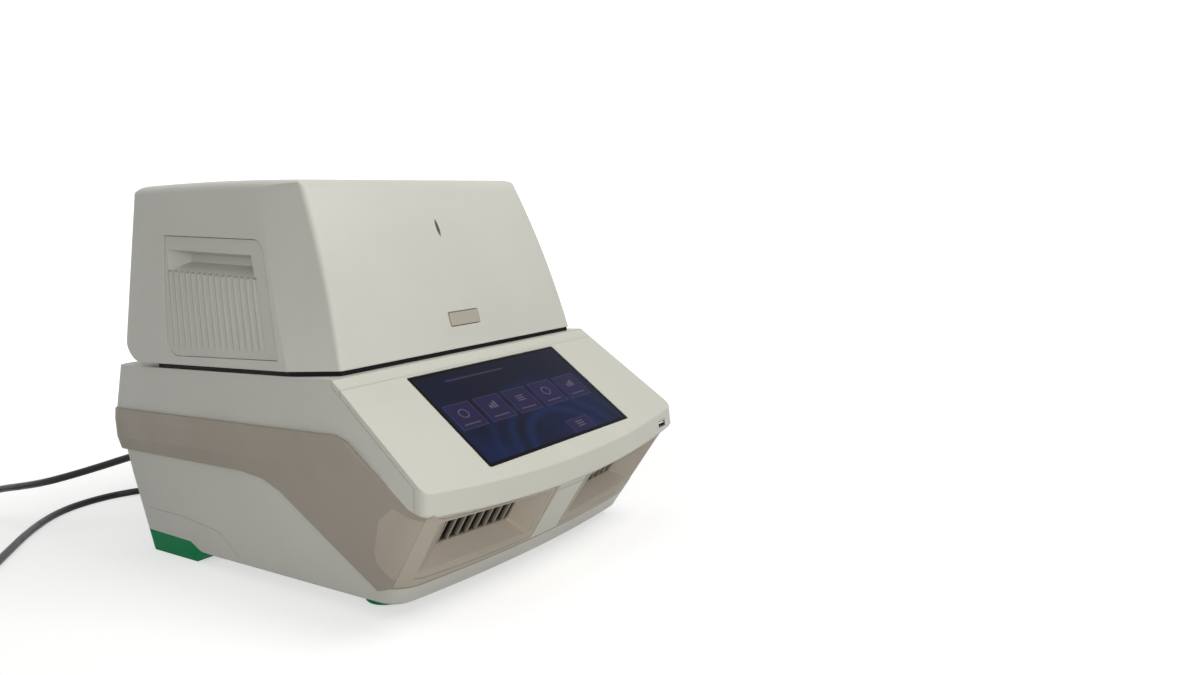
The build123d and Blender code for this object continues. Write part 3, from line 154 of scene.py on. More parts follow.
# %% A material in the making
class Paint:
    """A material's nodes, its surface shader, and the place on the object that its patterns follow."""

    def __init__(self, name, colour, roughness=0.5, **surface):
        self.material = bpy.data.materials.new(f"{name}_finish")
        self.material.use_nodes = True
        self.tree = self.material.node_tree
        self.surface = self.tree.nodes["Principled BSDF"]
        connect(self.surface, {"Base Color": (*colour, 1), "Roughness": roughness})
        self.tune(**surface)
        self.place = Wire(self.node("ShaderNodeTexCoord", {}).outputs["Object"])
        split = self.node("ShaderNodeSeparateXYZ", {}, Vector=self.place)
        self.x, self.y, self.z = [Wire(socket) for socket in split.outputs]
        self.normal = None

    def tune(self, **sockets):
        """Set inputs of the surface shader, with underscores for the spaces in their names."""
        connect(self.surface, {name.replace("_", " "): value for name, value in sockets.items()})

    def node(self, kind, settings, **sockets):
        """Any node in this material."""
        return add_node(self.tree, kind, settings, sockets)

    def noise(self, scale, detail=3.0, stretch=(1, 1, 1)):
        """Noise from 0 to 1; scale is in turns per metre."""
        mapping = self.node("ShaderNodeMapping", {}, Scale=stretch, Vector=self.place)
        vector = Wire(mapping.outputs[0])
        return Wire(self.node("ShaderNodeTexNoise", {}, Scale=scale, Detail=detail, Vector=vector).outputs[0])

    def mix(self, share, first, second):
        """A colour between two colours."""
        colours = [colour if isinstance(colour, Wire) else (*colour, 1) for colour in (first, second)]
        sockets = {0: share, 6: colours[0], 7: colours[1]}
        return Wire(add_node(self.tree, "ShaderNodeMix", {"data_type": "RGBA"}, sockets).outputs[2])

    def bump(self, height, strength, distance):
        """Add a height, in units of distance, on top of the bumps so far."""
        bump = self.node("ShaderNodeBump", {}, Strength=strength, Distance=distance, Height=height)
        if self.normal:
            connect(bump, {"Normal": self.normal})
        self.normal = Wire(bump.outputs[0])

    def soften(self, radius):
        """Round every edge a little, and return 1 along the edges that it rounds."""
        self.normal = Wire(self.node("ShaderNodeBevel", {"samples": 6}, Radius=radius).outputs[0])
        plain = Wire(self.node("ShaderNodeNewGeometry", {}).outputs["True Normal"])
        settings = {"operation": "DOT_PRODUCT"}
        agreement = add_node(self.tree, "ShaderNodeVectorMath", settings, {0: self.normal, 1: plain})
        return Wire(agreement.outputs["Value"]).ramp(0.80, 0.95, 1.0, 0.0)

    def finish(self, shade, roughness):
        """Join colour, roughness and normal to the surface, and return the material."""
        connect(self.surface, {"Base Color": shade, "Roughness": roughness})
        if self.normal:
            connect(self.surface, {"Normal": self.normal})
        return self.material


# %% [markdown]
# ## Moulded plastic
# The case is injection moulded. Its skin is spark-textured: fine pits under a satin sheen, with a faint
# mottle, and a painted highlight that lightens the edges. A photo texture would carry one light with it, so
# layers of noise make the skin instead, and they hold at any distance. Grooves get dark painted shade.

# %% Moulded plastic
def moulded(name, colour, roughness=0.46, grain=0.05, lines=None, edge=0.0007, dark=0.45):
    """Spark-textured plastic with painted edge highlights; lines adds a piece's grooves of painted shade and
    returns how dark each is.
    """
    paint = Paint(name, colour, roughness)
    painted_edge_highlight = paint.soften(edge)
    paint.bump(paint.noise(2600, 2), 0.22, grain * 0.001)
    mottle = paint.noise(9, 3).ramp(0.3, 0.7)
    speckle = paint.noise(900, 2).ramp(0.35, 0.65)
    shade = paint.mix(mottle, scaled(colour, 0.975), scaled(colour, 1.02))
    shade = paint.mix(speckle * 0.25, shade, scaled(colour, 0.93))
    # Painted highlight: every edge that the bevel rounds is painted lighter.
    shade = paint.mix(painted_edge_highlight * 0.6, shade, scaled(colour, 1.3))
    # The marks from lines are painted shade: in grooves, beside the ridge, in the throats and on the flutes.
    for line in lines(paint) if lines else []:
        shade = paint.mix(line, shade, scaled(colour, dark))
    return paint.finish(shade, paint.noise(35, 4).ramp(0.3, 0.7, roughness - 0.04, roughness + 0.06))


body_grey = moulded("body_grey", GREY)
button_beige = moulded("button_beige", BEIGE, 0.4)
trim_taupe = moulded("trim_taupe", TAUPE, 0.5, 0.07)
cap_taupe = moulded("cap_taupe", CAP_TAUPE, 0.5, 0.07)
black_plastic = moulded("black_plastic", BLACK, 0.4)
pan_black = moulded("pan_black", scaled(BLACK, 2.5), 0.6, 0.1)
plain_plastics = (body_grey, button_beige, trim_taupe, cap_taupe, black_plastic, pan_black)
print("plain plastics:", [material.name for material in plain_plastics])

# %% [markdown]
# ## Fine moulded lines
# A few lines are too fine for the solids: a groove over the rear foot, two soft creases in the lid, a low
# ridge over the screen, and a groove across the keel. Each is a height near a path, given to a Bump node,
# with a thin line of painted shade along it.

# %% Distance to a line
FOOT_GROOVE = [
    (0.193, 0.0455), (0.136, 0.045), (0.083, 0.0386), (0.071, 0.0355), (0.062, 0.026), (0.052, 0.017),
]
LID_CREASE_Z = 0.2255
RIDGE_Y = -0.1245
RIDGE_SHADE_Y = -0.1262
KEEL_GROOVE_Z = 0.0746
print(len(FOOT_GROOVE) - 1, "runs in the foot's groove")


def distance_to_path(across, up, path):
    """Distance from a point to a path of straight runs, in the plane of the two values."""
    nearest = None
    for (start_a, start_b), (end_a, end_b) in zip(path, path[1:]):
        length = math.hypot(end_a - start_a, end_b - start_b)
        run_a, run_b = (end_a - start_a) / length, (end_b - start_b) / length
        along = ((across - start_a) * run_a + (up - start_b) * run_b).at_least(0.0).at_most(length)
        off_a = across - start_a - along * run_a
        off_b = up - start_b - along * run_b
        distance = (off_a * off_a + off_b * off_b).root()
        nearest = distance if nearest is None else nearest.at_most(distance)
    return nearest


# %% Lines of the lower body, the lid, the bezel and the keel
def foot_groove(paint):
    """Faint groove over the rear foot, on the lower body's sides."""
    distance = distance_to_path(paint.y, paint.z, FOOT_GROOVE)
    paint.bump(distance.ramp(0.0, 0.0012), 0.5, 0.0006)
    # The thin darker core is painted shade in the groove.
    return [distance.ramp(0.0002, 0.0007, 0.55, 0.0)]


def lid_creases(paint):
    """The lid's two very faint creases: upright on the centre line, and level near the button."""
    front = paint.y.ramp(-0.080, -0.070, 1.0, 0.0)
    paint.bump(abs(paint.x).ramp(0.0, 0.004) * front, 0.25, 0.0006)
    paint.bump(abs(paint.z - LID_CREASE_Z).ramp(0.0, 0.003) * front, 0.2, 0.0004)
    return []


def bezel_ridge(paint):
    """Low ridge over the screen, along the top of the sloped bezel."""
    face = paint.z.ramp(0.160, 0.165)
    paint.bump((abs(paint.y - RIDGE_Y).ramp(0.0004, 0.0014) - 1) * face, 0.6, 0.0007)
    # A thin line of painted shade beside the ridge.
    return [abs(paint.y - RIDGE_SHADE_Y).ramp(0.0002, 0.0007, 0.25, 0.0) * face]


def keel_groove(paint):
    """Groove across the keel, under the lip."""
    distance = abs(paint.z - KEEL_GROOVE_Z)
    paint.bump(distance.ramp(0.0, 0.0009), 0.6, 0.0008)
    # The thin darker core is painted shade in the groove.
    return [distance.ramp(0.0002, 0.0006, 0.75, 0.0)]


# The lower body's grey and the keel's cream are painted lighter than the body's grey and the bezel's cream, as
# painted light.
lower_grey = moulded("lower_grey", scaled(GREY, 1.1), lines=foot_groove)
lid_grey = moulded("lid_grey", scaled(GREY, 1.04), lines=lid_creases, edge=0.0016)
bezel_cream = moulded("bezel_cream", CREAM, 0.42, lines=bezel_ridge, edge=0.0022)
keel_cream = moulded("keel_cream", scaled(CREAM, 1.08), 0.42, lines=keel_groove)
print("lines on", lower_grey.name, lid_grey.name, bezel_cream.name, keel_cream.name)

# %% [markdown]
# ## Air intakes
# Each intake is a slanted funnel with thin blades in its throat, and the duct behind is dark. The solids
# have funnel and blades. The dark of the duct is painted shade where no lamp reaches, laid on by depth
# behind the mouth, and the blades get painted shade behind their front edges. One set of axes serves both
# intakes, because x is taken without its sign.

# %% Air intakes
MOUTH_ORIGIN = Vector((0.0228, -0.185458, 0.035))
MOUTH_ACROSS = Vector((0.996885, 0.074909, 0.024675)).normalized()
MOUTH_OUT = Vector((0.07466, -0.79552, -0.60131)).normalized()
MOUTH_PATH = [(0, 0), (0.1216, 0), (0.1237, 0.0582), (0.0024, 0.0521), (0, 0)]
MOUTH_GROOVE = 0.0045
THROAT_DEPTH = 0.016


def along_mouth(paint, axis):
    """Place along one axis of the mouth."""
    return abs(paint.x) * axis.x + paint.y * axis.y + paint.z * axis.z - MOUTH_ORIGIN.dot(axis)


def mouth_groove(paint):
    """A fine groove round each mouth, and painted shade in the groove's core and in the throat behind it."""
    depth = -1 * along_mouth(paint, MOUTH_OUT)
    across, up = along_mouth(paint, MOUTH_ACROSS), along_mouth(paint, MOUTH_OUT.cross(MOUTH_ACROSS))
    outside = depth.ramp(0.001, 0.002, 1.0, 0.0)
    groove = abs(distance_to_path(across, up, MOUTH_PATH) - MOUTH_GROOVE)
    paint.bump(groove.ramp(0.0, 0.0008, -1.0, 0.0) * outside, 0.5, 0.0006)
    # Both marks are painted shade: the groove's dark core, and the dark throat behind the mouth.
    return [groove.ramp(0.0002, 0.0007, 0.6, 0.0) * outside, depth.ramp(THROAT_DEPTH, THROAT_DEPTH + 0.003)]


def blade_shade(paint):
    """Blades with painted shade behind their front edges."""
    depth = -1 * along_mouth(paint, MOUTH_OUT)
    return [depth.ramp(THROAT_DEPTH + 0.0008, THROAT_DEPTH + 0.005)]


intake_taupe = moulded("intake_taupe", scaled(TAUPE, 1.38), 0.5, 0.07, lines=mouth_groove, dark=0.1)
fin_taupe = moulded("fin_taupe", scaled(TAUPE, 1.05), 0.5, lines=blade_shade, dark=0.04)
print("throat goes dark", 1000 * THROAT_DEPTH, "mm behind the mouth")

# %% [markdown]
# ## Grip panels
# A hand takes the lid by a finger recess over a fluted field. The flutes are only a millimetre deep, so
# soft studio light alone would lose them. Shade is painted at each flute's rear edge and along its top. The
# flutes lean, so the pattern is sheared along with them before it repeats.

# %% Grip panels
FLUTE_PITCH = 0.0095
FLUTE_COUNT = 15
FLUTE_TOP_Y = 0.123
FLUTE_TOP_Z = 0.2655
FLUTE_TOP_RISE = 0.075
FLUTE_FOOT_Z = 0.205
FLUTE_LEAN = 0.29


def flute_shade(paint):
    """Painted shade in the flutes, darkest at their rear edges and along their tops."""
    top_z = paint.y * FLUTE_TOP_RISE + FLUTE_TOP_Z
    across = ((top_z - paint.z) * FLUTE_LEAN + paint.y - FLUTE_TOP_Y) / FLUTE_PITCH
    share = (across + 0.5).fraction()
    field = across.ramp(0.5 - FLUTE_COUNT, 0.6 - FLUTE_COUNT) * across.ramp(0.4, 0.5, 1.0, 0.0)
    upright = paint.z.ramp(FLUTE_FOOT_Z, FLUTE_FOOT_Z + 0.003) * (top_z - paint.z).ramp(0.0, 0.0008)
    rear_edge = share.ramp(0.72, 0.84) * share.ramp(0.86, 0.93, 1.0, 0.0)
    top_edge = abs(paint.z - top_z).ramp(0.0004, 0.0011, 1.0, 0.0)
    inside = share.ramp(0.2, 0.3) * share.ramp(0.75, 0.85, 1.0, 0.0)
    return [rear_edge * upright * field * 0.6, top_edge * inside * field * 0.7]


grip_grey = moulded("grip_grey", GREY, 0.5, 0.06, lines=flute_shade)
print(FLUTE_COUNT, "flutes,", 1000 * FLUTE_PITCH, "mm apart")

# %% [markdown]
# ## Rubbers
# The feet are green rubber, the seal under the lid is black foam rubber, and the cords have a PVC jacket.
# All three are soft and a little dusty. A plain glossy black would look like metal, so their highlights
# are weak and wide, and a pale bloom lies over them in patches.

# %% Rubbers
def rubber(name, colour, roughness, bloom_share, gloss):
    """Soft elastomer with a dusty bloom and a faint skin."""
    paint = Paint(name, colour, roughness, Specular_IOR_Level=gloss)
    paint.soften(0.0008)
    paint.bump(paint.noise(1500, 3), 0.3, 0.00006)
    bloom = paint.noise(60, 5).ramp(0.45, 0.75)
    shade = paint.mix(bloom * bloom_share, colour, scaled(colour, 1.5))
    return paint.finish(shade, bloom.ramp(0, 1, roughness - 0.05, roughness + 0.1))


foot_green = rubber("foot_green", GREEN, 0.6, 0.15, 0.1)
seal_rubber = rubber("seal_rubber", scaled(BLACK, 0.6), 0.8, 0.2, 0.2)
cord_rubber = rubber("cord_rubber", CORD_BLACK, 0.38, 0.4, 0.3)
print("rubbers:", foot_green.name, seal_rubber.name, cord_rubber.name)

# %% [markdown]
# ## Metals, board, tiles and lens
# Inside are brushed steel and aluminium, powder-coated sheet, a circuit board and ceramic tiles. Brushing
# is noise stretched along one axis. Coated metal has a fine grain and a soft cloud instead. The board's
# tracks are two sets of stripes kept in patches, because a board seen through a slot needs no real layout.

# %% Metals
def brushed(name, colour, roughness, stretch):
    """Metal with fine lines along one direction."""
    paint = Paint(name, colour, roughness, Metallic=1.0)
    paint.soften(0.0003)
    lines = paint.noise(900, 4, stretch)
    paint.bump(lines, 0.2, 0.00004)
    shade = paint.mix(lines, scaled(colour, 0.85), scaled(colour, 1.08))
    return paint.finish(shade, lines.ramp(0.3, 0.7, roughness - 0.08, roughness + 0.1))


def coated(name, colour, roughness):
    """Bead-blasted or powder-coated metal."""
    paint = Paint(name, colour, roughness, Metallic=0.75)
    paint.soften(0.0005)
    paint.bump(paint.noise(1800, 4), 0.35, 0.00008)
    cloud = paint.noise(25, 4).ramp(0.3, 0.7)
    return paint.finish(paint.mix(cloud, scaled(colour, 0.9), scaled(colour, 1.06)), roughness)


steel_brushed = brushed("steel_brushed", STEEL, 0.32, (1, 0.04, 1))
aluminium_brushed = brushed("aluminium_brushed", ALUMINIUM, 0.34, (0.05, 1, 1))
sheet_grey = coated("sheet_grey", (0.34, 0.34, 0.33), 0.5)
lens_black = coated("lens_black", (0.02, 0.02, 0.022), 0.4)
print("metals:", steel_brushed.name, aluminium_brushed.name, sheet_grey.name, lens_black.name)

# %% Board, tiles and lens
SOLDER_MASK = (0.01, 0.11, 0.045)
COVERED_COPPER = (0.03, 0.2, 0.07)


def circuit_board():
    """Green solder mask with copper tracks showing through."""
    paint = Paint("board_green", SOLDER_MASK, 0.35)
    tracks = (paint.x * 260).fraction().ramp(0.42, 0.5).at_least((paint.y * 170).fraction().ramp(0.44, 0.52))
    tracks = tracks * paint.noise(60, 2).ramp(0.48, 0.52)
    paint.bump(tracks, 0.3, 0.00005)
    return paint.finish(paint.mix(tracks, SOLDER_MASK, COVERED_COPPER), 0.35)


def ceramic_tiles():
    """White matt ceramic."""
    paint = Paint("ceramic_white", (0.78, 0.78, 0.75), 0.6)
    paint.soften(0.0002)
    paint.bump(paint.noise(1200, 3), 0.2, 0.00003)
    return paint.finish(paint.mix(paint.noise(80, 3), (0.74, 0.74, 0.71), (0.8, 0.8, 0.78)), 0.6)


def status_lens():
    """Dark smoked lens of the status light, not lit."""
    paint = Paint("status_lens", (0.03, 0.03, 0.028), 0.15, Coat_Weight=0.5)
    return paint.finish(paint.mix(paint.noise(300, 2), (0.025, 0.025, 0.024), (0.05, 0.05, 0.045)), 0.15)


board_green = circuit_board()
ceramic_white = ceramic_tiles()
smoked_lens = status_lens()
print("small parts:", board_green.name, ceramic_white.name, smoked_lens.name)

# %% [markdown]
# ## Touch screen
# The screen is dark glass over a lit panel: a navy ground, soft arcs of light, and a row of plain tiles
# with signs. An image could be laid on the glass, but shapes worked out from distances stay sharp and
# belong to nobody. The panel glows a little through its Emission Color. A low IOR keeps the glass dark.

# %% Places on the screen
SLOPE = math.radians(37.15)
SCREEN_Y = -0.1705
SCREEN_Z = 0.187 + (SCREEN_Y + 0.1157) * math.tan(SLOPE)
HALF_WIDTH = 0.0925
HALF_HEIGHT = 0.0535
BORDER = 0.0032
NAVY = (0.006, 0.007, 0.019)
DEEP_BLUE = (0.007, 0.013, 0.05)
ARC_BLUE = (0.007, 0.018, 0.065)
TILE = (0.020, 0.015, 0.055)
TILE_EDGE = (0.07, 0.06, 0.12)
SIGN = (0.10, 0.10, 0.13)
BORDER_BLACK = (0.003, 0.003, 0.004)
TILE_ROW = [(-0.071, 0.001), (-0.0365, 0.001), (-0.002, 0.001), (0.0325, 0.001), (0.067, 0.001)]
LOW_TILE = (0.034, -0.044)
TILE_HALF = 0.0142
LOW_TILE_SHARE = 0.62
SIGN_RAISED = 0.0025
CAPTION_LOWERED = 0.0095
ARC_CENTRE = (0.01, -0.062)
ARCS = [(0.045, 0.75), (0.062, 0.55), (0.080, 0.35)]
print("screen", 2 * HALF_WIDTH, "x", 2 * HALF_HEIGHT, "m with", len(TILE_ROW) + 1, "tiles")


def box_distance(across, up, centre, half_width, half_height):
    """Distance outside a rectangle; negative inside."""
    side = abs(across - centre[0]) - half_width
    return side.at_least(abs(up - centre[1]) - half_height)


def ring_distance(across, up, centre, radius):
    """Distance from a circle's line."""
    off_across, off_up = across - centre[0], up - centre[1]
    return abs((off_across * off_across + off_up * off_up).root() - radius)


# %% Signs in the tiles
def tile_sign(across, up, place, kind):
    """A plain sign: a ring, a bar chart, or a sheet of lines."""
    x, y = place[0], place[1] + SIGN_RAISED
    if kind == 0:
        return ring_distance(across, up, (x, y), 0.0046).ramp(0.0003, 0.0008, 0.7, 0.0)
    parts = []
    for step in (-1, 0, 1):
        if kind == 1:
            bar_place = (x + 0.0034 * step, y + 0.0009 * step)
            parts.append(box_distance(across, up, bar_place, 0.0011, 0.0028 + 0.0009 * step))
        else:
            parts.append(box_distance(across, up, (x, y + 0.0026 * step), 0.0046, 0.0005))
    return parts[0].at_most(parts[1]).at_most(parts[2]).ramp(-0.0001, 0.0003, 0.7, 0.0)


def add_tiles(paint, shade, across, up):
    """Tiles with a thin edge, a sign and a caption line."""
    for number, place in enumerate([*TILE_ROW, LOW_TILE]):
        height = TILE_HALF * (LOW_TILE_SHARE if place == LOW_TILE else 1.0)
        edge = box_distance(across, up, place, TILE_HALF, height)
        shade = paint.mix(edge.ramp(-0.0002, 0.0002, 0.8, 0.0), shade, TILE)
        shade = paint.mix(abs(edge).ramp(0.0002, 0.0006, 0.4, 0.0), shade, TILE_EDGE)
        shade = paint.mix(tile_sign(across, up, place, number % 3), shade, SIGN)
        caption = box_distance(across, up, (place[0], place[1] - CAPTION_LOWERED), 0.009, 0.0007)
        shade = paint.mix(caption.ramp(-0.0002, 0.0002, 0.5, 0.0), shade, SIGN)
    return shade


# %% The lit panel under glass
def lit_screen():
    """Navy panel with soft arcs of light, tiles, a title line, and a thin black border."""
    paint = Paint("screen", NAVY, 0.07, IOR=1.13, Emission_Strength=0.25)
    across = paint.x
    up = (paint.y - SCREEN_Y) * math.cos(SLOPE) + (paint.z - SCREEN_Z) * math.sin(SLOPE)
    glow = (up * -9 + 0.45).at_most(1.0).at_least(0.0)
    shade = paint.mix(paint.noise(14, 2).ramp(0.35, 0.65) * glow, NAVY, DEEP_BLUE)
    for radius, strength in ARCS:
        arc = ring_distance(across, up, ARC_CENTRE, radius)
        shade = paint.mix(arc.ramp(0.0, 0.0075, strength, 0.0), shade, ARC_BLUE)
    shade = add_tiles(paint, shade, across, up)
    title = box_distance(across, up, (-0.025, 0.041), 0.035, 0.0011)
    shade = paint.mix(title.ramp(-0.0002, 0.0002, 0.35, 0.0), shade, TILE_EDGE)
    rim = box_distance(across, up, (0, 0), HALF_WIDTH - BORDER, HALF_HEIGHT - BORDER)
    shade = paint.mix(rim.ramp(-0.0001, 0.0001), shade, BORDER_BLACK)
    paint.tune(Emission_Color=shade)
    return paint.finish(shade, paint.noise(45, 5).ramp(0.4, 0.75, 0.06, 0.16))


lit_glass = lit_screen()
print("screen:", lit_glass.name, len(lit_glass.node_tree.nodes), "nodes")

# %% [markdown]
# ## Dressing the solids
# Every solid keeps its mesh, because the shapes are right as they come from CAD. Only the material in its
# slots changes. A table from material to pieces shows at a glance what is made of what.

# %% Dressing the solids
dressing = {
    body_grey: ["upper_body"],
    lower_grey: ["lower_body"],
    lid_grey: ["lid_shell"],
    grip_grey: ["grip_panel_left", "grip_panel_right"],
    bezel_cream: ["front_bezel"],
    keel_cream: ["front_keel"],
    trim_taupe: ["waist_band"],
    cap_taupe: ["corner_cap_left", "corner_cap_right"],
    intake_taupe: ["air_intake_left", "air_intake_right"],
    fin_taupe: ["intake_fins"],
    button_beige: ["lid_button"],
    foot_green: ["front_feet", "rear_foot_left", "rear_foot_right"],
    seal_rubber: ["light_seal"],
    lit_glass: ["touch_glass"],
    smoked_lens: ["status_light"],
    steel_brushed: [
        "hinge_bracket_left", "hinge_bracket_right", "hinge_arm_left", "hinge_arm_right", "sector_gear",
        "drive_pinion", "front_usb_socket", "data_socket", "usb_pair", "motor_bracket",
    ],
    aluminium_brushed: [
        "sample_block", "heat_sink", "heated_plate", "lid_frame", "guide_rails", "cross_carriage", "lid_motor",
    ],
    sheet_grey: ["base_pan", "rear_panel", "power_supply"],
    lens_black: ["lens_shuttle"],
    pan_black: ["lid_inner_pan", "block_surround"],
    black_plastic: [
        "fan_housings", "fan_rotor_left", "fan_rotor_right", "mains_inlet", "switch_body", "power_rocker",
        "mains_connector", "mains_plug", "data_plug", "usb_plug", "display_module",
    ],
    board_green: ["main_board"],
    ceramic_white: ["thermoelectric_modules"],
}
for material, names in dressing.items():
    for name in names:
        for holder in nodes[name].material_slots:
            holder.material = material
print(sum(len(names) for names in dressing.values()), "pieces dressed in", len(dressing), "materials")

# %% [markdown]
# ## Cords
# A mains lead and a data cable leave the rear, sag to the bench and run out of the picture. The length
# that isn't seen is wound into a neat coil. A mesh tube would need many rings to stay round, so each cord
# is one NURBS curve with a round bevel, through the points of its route and then of its coil.

# %% Routes
CORD_RADIUS = 0.004
TURN_RADII = (0.052, 0.044, 0.036)
UPPER_RADII = (0.040, 0.048)
UPPER_RISE = 0.0069
POINTS_PER_TURN = 16
LEAD_ROUTE = [
    (-0.100, 0.276, 0.078),
    (-0.100, 0.297, 0.078),
    (-0.109, 0.319, 0.072),
    (-0.127, 0.345, 0.064),
    (-0.146, 0.369, 0.057),
    (-0.163, 0.398, 0.050),
    (-0.171, 0.435, 0.044),
    (-0.176, 0.480, 0.037),
    (-0.187, 0.525, 0.027),
    (-0.210, 0.562, 0.015),
    (-0.248, 0.587, 0.0055),
    (-0.286, 0.590, 0.004),
]
CABLE_ROUTE = [
    (-0.030, 0.262, 0.046),
    (-0.030, 0.290, 0.046),
    (-0.027, 0.328, 0.033),
    (-0.025, 0.368, 0.018),
    (-0.028, 0.405, 0.007),
    (-0.045, 0.436, 0.0042),
    (-0.083, 0.450, 0.004),
    (-0.133, 0.439, 0.004),
    (-0.184, 0.391, 0.004),
    (-0.244, 0.311, 0.004),
    (-0.276, 0.268, 0.004),
]
print("lead leaves at", LEAD_ROUTE[0], "and cable at", CABLE_ROUTE[0])


# %% The coil and the curve
def coil_turns(route, side, leave_angle):
    """Points of the coil: three turns on the bench, two in the grooves above, up to leave_angle."""
    last = Vector(route[-1])
    run = last - Vector(route[-2])
    run.z = 0
    run.normalize()
    centre = Vector((last.x, last.y, 0)) + Vector((-run.y, run.x, 0)) * side * TURN_RADII[0]
    start = math.atan2(last.y - centre.y, last.x - centre.x)
    radii = (*TURN_RADII, *UPPER_RADII)
    end = (math.radians(leave_angle) - start) * side
    turns = 4 + (end / (2 * math.pi)) % 1
    count = round(turns * POINTS_PER_TURN)
    points = []
    for index in range(1, count + 1):
        turn = turns * index / count
        whole = min(int(turn), 4)
        share = min(max((turn - whole - 0.8) / 0.2, 0), 1) if whole < 4 else 0
        here, after = radii[whole], radii[min(whole + 1, 4)]
        radius = here + (after - here) * share
        height = CORD_RADIUS + UPPER_RISE * (1 if whole > 2 else share if whole == 2 else 0)
        angle = start + side * turn * 2 * math.pi
        points.append((centre.x + radius * math.cos(angle), centre.y + radius * math.sin(angle), height))
    return points


def add_cord(name, route, side, leave_angle):
    """A smooth round cord through its route and its coil, in the cord's black."""
    curve = bpy.data.curves.new(name, "CURVE")
    curve.dimensions = "3D"
    curve.bevel_depth = CORD_RADIUS
    curve.bevel_resolution = 6
    curve.use_fill_caps = True
    curve.resolution_u = 8
    points = [*route, *coil_turns(route, side, leave_angle)]
    spline = curve.splines.new("NURBS")
    spline.points.add(len(points) - 1)
    for point, place in zip(spline.points, points):
        point.co = (*place, 1)
    spline.order_u = 3
    spline.use_endpoint_u = True
    cord = bpy.data.objects.new(name, curve)
    bpy.context.collection.objects.link(cord)
    cord.data.materials.append(cord_rubber)
    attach(cord, "case")
    print(name, len(points), "points, curve", round(spline.calc_length(), 3), "m")
    return cord


# %% Both cords
lead = add_cord("mains_cord", LEAD_ROUTE, 1, 270)
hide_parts("mains_lead", "mains_lead_coil")
cable = add_cord("data_cord", CABLE_ROUTE, -1, 150)
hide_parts("data_cable", "data_cable_coil")

# %% [markdown]
# ## Bench
# The part stands on a white bench that sweeps up behind it, so that no horizon shows. One quad is the flat
# part. Spinning its far edge makes the bend, and one extrusion makes the wall. More light would wash out
# the part. So the bench only glows for the camera and in reflections, and more so away from the part: the
# weaker glow near the part paints a soft grey shade round it.

# %% The bench's white
BENCH_WHITE = (0.61, 0.61, 0.605)


def seen_plainly(tree):
    """1 for rays from the camera and in reflections and glass, and 0 for the light that falls on things."""
    path = add_node(tree, "ShaderNodeLightPath", {}, {})
    kinds = [Wire(path.outputs[f"Is {kind} Ray"]) for kind in ("Camera", "Glossy", "Transmission")]
    return kinds[0].at_least(kinds[1]).at_least(kinds[2])


def bench_material():
    """Matt white bench that turns plain white away from the part, with painted grey shade near it."""
    paint = Paint("bench", BENCH_WHITE, 0.9, Emission_Strength=1.0)
    reach = (paint.x * paint.x + paint.y * paint.y).root()
    # The glow is weaker near the part, which paints a soft grey shade round it.
    glow = seen_plainly(paint.tree) * reach.ramp(0.3, 1.5, 0.55, 1.0)
    paint.tune(Emission_Color=paint.mix(glow, (0, 0, 0), (1, 1, 1)))
    return paint.finish(paint.mix(paint.noise(3, 2), scaled(BENCH_WHITE, 0.97), BENCH_WHITE), 0.9)


bench_white = bench_material()
print(bench_white.name, BENCH_WHITE)

# %% The sweep's mesh
YAW = math.radians(53.7)
BENCH_WIDTH = 14.0
BENCH_NEAR = -3.0
BENCH_FAR = 2.6
BEND_RADIUS = 1.1
BEND_STEPS = 12
WALL_TOP = 4.0
sweep = bmesh.new()
bmesh.ops.create_grid(sweep, x_segments=1, y_segments=1, size=0.5)
bmesh.ops.scale(sweep, vec=(BENCH_WIDTH, BENCH_FAR - BENCH_NEAR, 1), verts=sweep.verts)
bmesh.ops.translate(sweep, vec=(0, (BENCH_FAR + BENCH_NEAR) / 2, 0), verts=sweep.verts)
far_edge = max(sweep.edges, key=lambda edge: sum(vert.co.y for vert in edge.verts))
bend = bmesh.ops.spin(
    sweep, geom=[far_edge, *far_edge.verts], cent=(0, BENCH_FAR, BEND_RADIUS), axis=(1, 0, 0),
    angle=math.pi / 2, steps=BEND_STEPS,
)
top_edge = [item for item in bend["geom_last"] if isinstance(item, bmesh.types.BMEdge)]
wall = bmesh.ops.extrude_edge_only(sweep, edges=top_edge)
wall_verts = [item for item in wall["geom"] if isinstance(item, bmesh.types.BMVert)]
bmesh.ops.translate(sweep, vec=(0, 0, WALL_TOP - BEND_RADIUS), verts=wall_verts)
bmesh.ops.rotate(sweep, cent=(0, 0, 0), matrix=Matrix.Rotation(-YAW, 3, "Z"), verts=sweep.verts)
for face in sweep.faces:
    face.smooth = True
print("sweep of", len(sweep.faces), "faces")

# %% The bench
bench_mesh = bpy.data.meshes.new("bench")
sweep.to_mesh(bench_mesh)
sweep.free()
bench_mesh.materials.append(bench_white)
bench = bpy.data.objects.new("bench", bench_mesh)
bpy.context.collection.objects.link(bench)
print("bench", [round(size, 2) for size in bench.dimensions])

# %% [markdown]
# ## Light
# The photograph has soft light from above the front, a weaker sky, and some light from the viewer's side.
# A sun would cut hard shadows, so three square lamps do it. The smallest stands near the camera, and its
# light fades along the sides from front to rear.

# %% Light
SKY_LIGHT = 0.23
world = bpy.data.worlds.new("room")
bpy.context.scene.world = world
world.use_nodes = True
sky_glow = seen_plainly(world.node_tree) * (1 - SKY_LIGHT) + SKY_LIGHT
connect(world.node_tree.nodes["Background"], {"Color": (1.0, 1.0, 0.99, 1), "Strength": sky_glow})


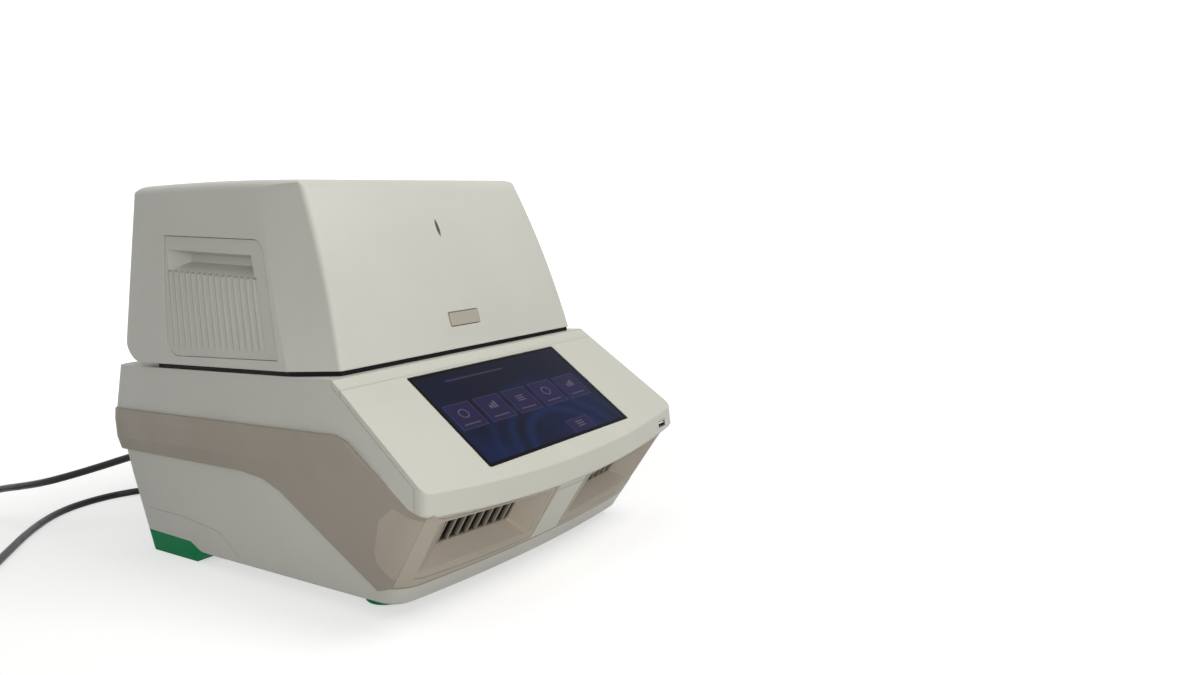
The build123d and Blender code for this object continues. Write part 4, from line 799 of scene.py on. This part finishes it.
def area_light(name, place, target, size, power, colour=(1, 1, 1)):
    """A soft square lamp aimed at a point."""
    data = bpy.data.lights.new(name, "AREA")
    data.size = size
    data.energy = power
    data.color = colour
    lamp = bpy.data.objects.new(name, data)
    bpy.context.collection.objects.link(lamp)
    lamp.location = place
    lamp.rotation_euler = (Vector(target) - Vector(place)).to_track_quat("-Z", "Y").to_euler()


area_light("window", (0.45, -1.35, 1.9), (0, -0.1, 0.15), 0.9, 22, (1.0, 0.99, 0.96))
area_light("ceiling", (-0.2, 0.3, 2.4), (0, 0, 0), 2.0, 9)
area_light("near_fill", (-0.85, -1.05, 0.45), (-0.1, -0.1, 0.15), 0.5, 4.5, (1.0, 0.99, 0.97))
print(len(bpy.data.lights), "lamps")

# %% [markdown]
# ## Camera
# The camera stands where the photographer's did. Its place, its direction and its focal length were fitted
# to the outline of the case, and the focal length is in pixels of the photograph's width.

# %% Camera
CAMERA_PLACE = Vector((-0.5873, -0.6931, 0.2873))
PITCH = math.radians(6.6)
ROLL = math.radians(3.7)
FOCAL_PIXELS = 917.7
IMAGE_WIDTH, IMAGE_HEIGHT = 1200, 675
SENSOR = 36.0
camera_data = bpy.data.cameras.new("camera")
camera_data.sensor_width = SENSOR
camera_data.lens = FOCAL_PIXELS / IMAGE_WIDTH * SENSOR
camera_data.shift_x = -0.0047
camera_data.shift_y = -0.002
camera = bpy.data.objects.new("camera", camera_data)
bpy.context.collection.objects.link(camera)
ahead = Vector((math.sin(YAW) * math.cos(PITCH), math.cos(YAW) * math.cos(PITCH), -math.sin(PITCH)))
level_right = Vector((math.cos(YAW), -math.sin(YAW), 0))
level_up = level_right.cross(ahead)
right = level_right * math.cos(ROLL) - level_up * math.sin(ROLL)
up = level_right * math.sin(ROLL) + level_up * math.cos(ROLL)
camera.matrix_world = Matrix.Translation(CAMERA_PLACE) @ Matrix((right, up, -ahead)).transposed().to_4x4()
bpy.context.scene.camera = camera
bpy.context.scene.view_settings.view_transform = "Standard"
print("lens", round(camera_data.lens, 2), "mm")
